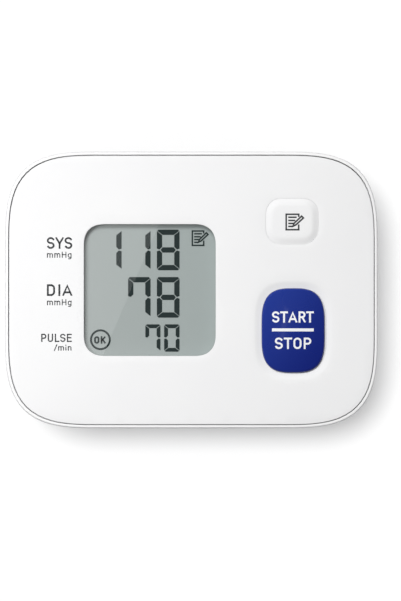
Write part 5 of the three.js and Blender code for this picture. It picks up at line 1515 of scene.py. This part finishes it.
# Screws: zinc-plated thread-forming screws with a low round head and a cross recess.
SCREW_SIDES = 40
CASE_HEAD = 2.0 * MM
CASE_HEAD_HEIGHT = 1.5 * MM
HEAD_SHARE = 0.72  # of the head's radius that its top keeps
HEAD_ROUND = 0.8  # share of the head's height that is rounded
THREAD_PITCH = 0.9 * MM
THREAD_DEPTH = 0.28 * MM
THREAD_RINGS = 8  # for each turn
POINT_LENGTH = 1.2 * MM
POINT_SHARE = 0.12  # of the shank's radius that the point's end keeps
RECESS_ARM = (0.3 * MM, 1.05 * MM)
RECESS_DEPTH = 0.75 * MM


def screw_parts(low, high, head, head_height, shank):
    """A screw that stands on its head: the head's quarter ellipse, and a shank whose radius
    grows and falls evenly with the height less the turn, once per pitch, to a short point."""
    ring = circle(SCREW_SIDES)
    lift = np.linspace(0, 1, 7)
    head_radius = head * (HEAD_SHARE + (1 - HEAD_SHARE) * np.sqrt(1 - (1 - lift) ** 2))
    count = int((high[2] - low[2]) / THREAD_PITCH * THREAD_RINGS)
    run = np.linspace(low[2] + head_height, high[2], count)[:, None]
    phase = (run / THREAD_PITCH - np.arange(SCREW_SIDES) / SCREW_SIDES) % 1
    ridge = np.abs(phase * 2 - 1) * np.clip((run - run[0]) / THREAD_PITCH, 0, 1)
    point = np.clip((high[2] - run) / POINT_LENGTH, POINT_SHARE, 1)
    thread_radius = (shank - THREAD_DEPTH * (1 - ridge)) * point
    collar = [*head_radius, head, head / 2]
    radius = np.concatenate([np.repeat(np.array(collar)[:, None], SCREW_SIDES, 1), thread_radius])
    heights = low[2] + head_height * np.array([*lift * HEAD_ROUND, 1, 1])
    z = np.concatenate([heights[:, None], run]) + 0 * radius
    middle = (low + high) / 2
    x, y = (middle[i] + radius * ring[:, i] for i in (0, 1))
    return [loop_stack(np.stack([x, y, z], -1))]


for name, *sizes in (("case_screw_", CASE_HEAD, CASE_HEAD_HEIGHT, SCREW_HOLE - HAIR),
                     ("cuff_plate_screw_", PLATE_HEAD, PLATE_HEAD_HEIGHT, PLATE_HOLE - HAIR)):
    for number in "1234":
        low, high = corners_of(name + number)
        screw = piece(name + number + "_made", screw_parts(low, high, *sizes), steel, "housing")
        middle = np.array([*(low + high)[:2] / 2, low[2]])
        arms = [box_part(middle - arm, middle + arm)
                for arm in ((*RECESS_ARM, RECESS_DEPTH), (*RECESS_ARM[::-1], RECESS_DEPTH))]
        cross = piece("cross", arms[:1], steel)
        carve(cross, arms[1:], "UNION")
        carve(screw, cross, "DIFFERENCE")
        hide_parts(name + number)

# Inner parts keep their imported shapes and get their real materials: engineering plastics,
# rubber, silicone, printed board, film and plated steel.
WEARS = [  # material, then the starts of the names of the nodes that wear it; a later row wins
    (steel, "contact_", "pump_shaft", "pump_motor", "valve_plunger"),
    (moulded("black_plastic", ink(42, 43, 46), ink(34, 35, 38), 0.45), "start_switch",
     "memory_switch", "microcontroller", "air_valve", "pressure_sensor"),
    (moulded("grey_plastic", ink(150, 153, 158), ink(138, 141, 147), 0.5), "lcd_holder",
     "air_manifold", "pump_head", "cuff_curler", "cuff_nozzle"),
    (moulded("grey_rubber", ink(88, 90, 94), ink(78, 80, 84), 0.7), "zebra_connector",
     "start_switch_plunger", "memory_switch_plunger"),
    (moulded("silicone", ink(214, 216, 214), ink(200, 203, 201), 0.4), "pump_tube", "valve_tube",
     "sensor_tube", "cuff_tube"),
    (moulded("circuit_board_lacquer", ink(28, 92, 58), ink(20, 74, 46), 0.3, 0.4), "circuit_board"),
    (moulded("bladder_film", ink(206, 210, 214), ink(192, 197, 202), 0.35), "cuff_bladder"),
]
for material, *names in WEARS:
    for node_name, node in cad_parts.items():
        if node_name.startswith(tuple(names)):
            for slot in node.material_slots:
                slot.material = material
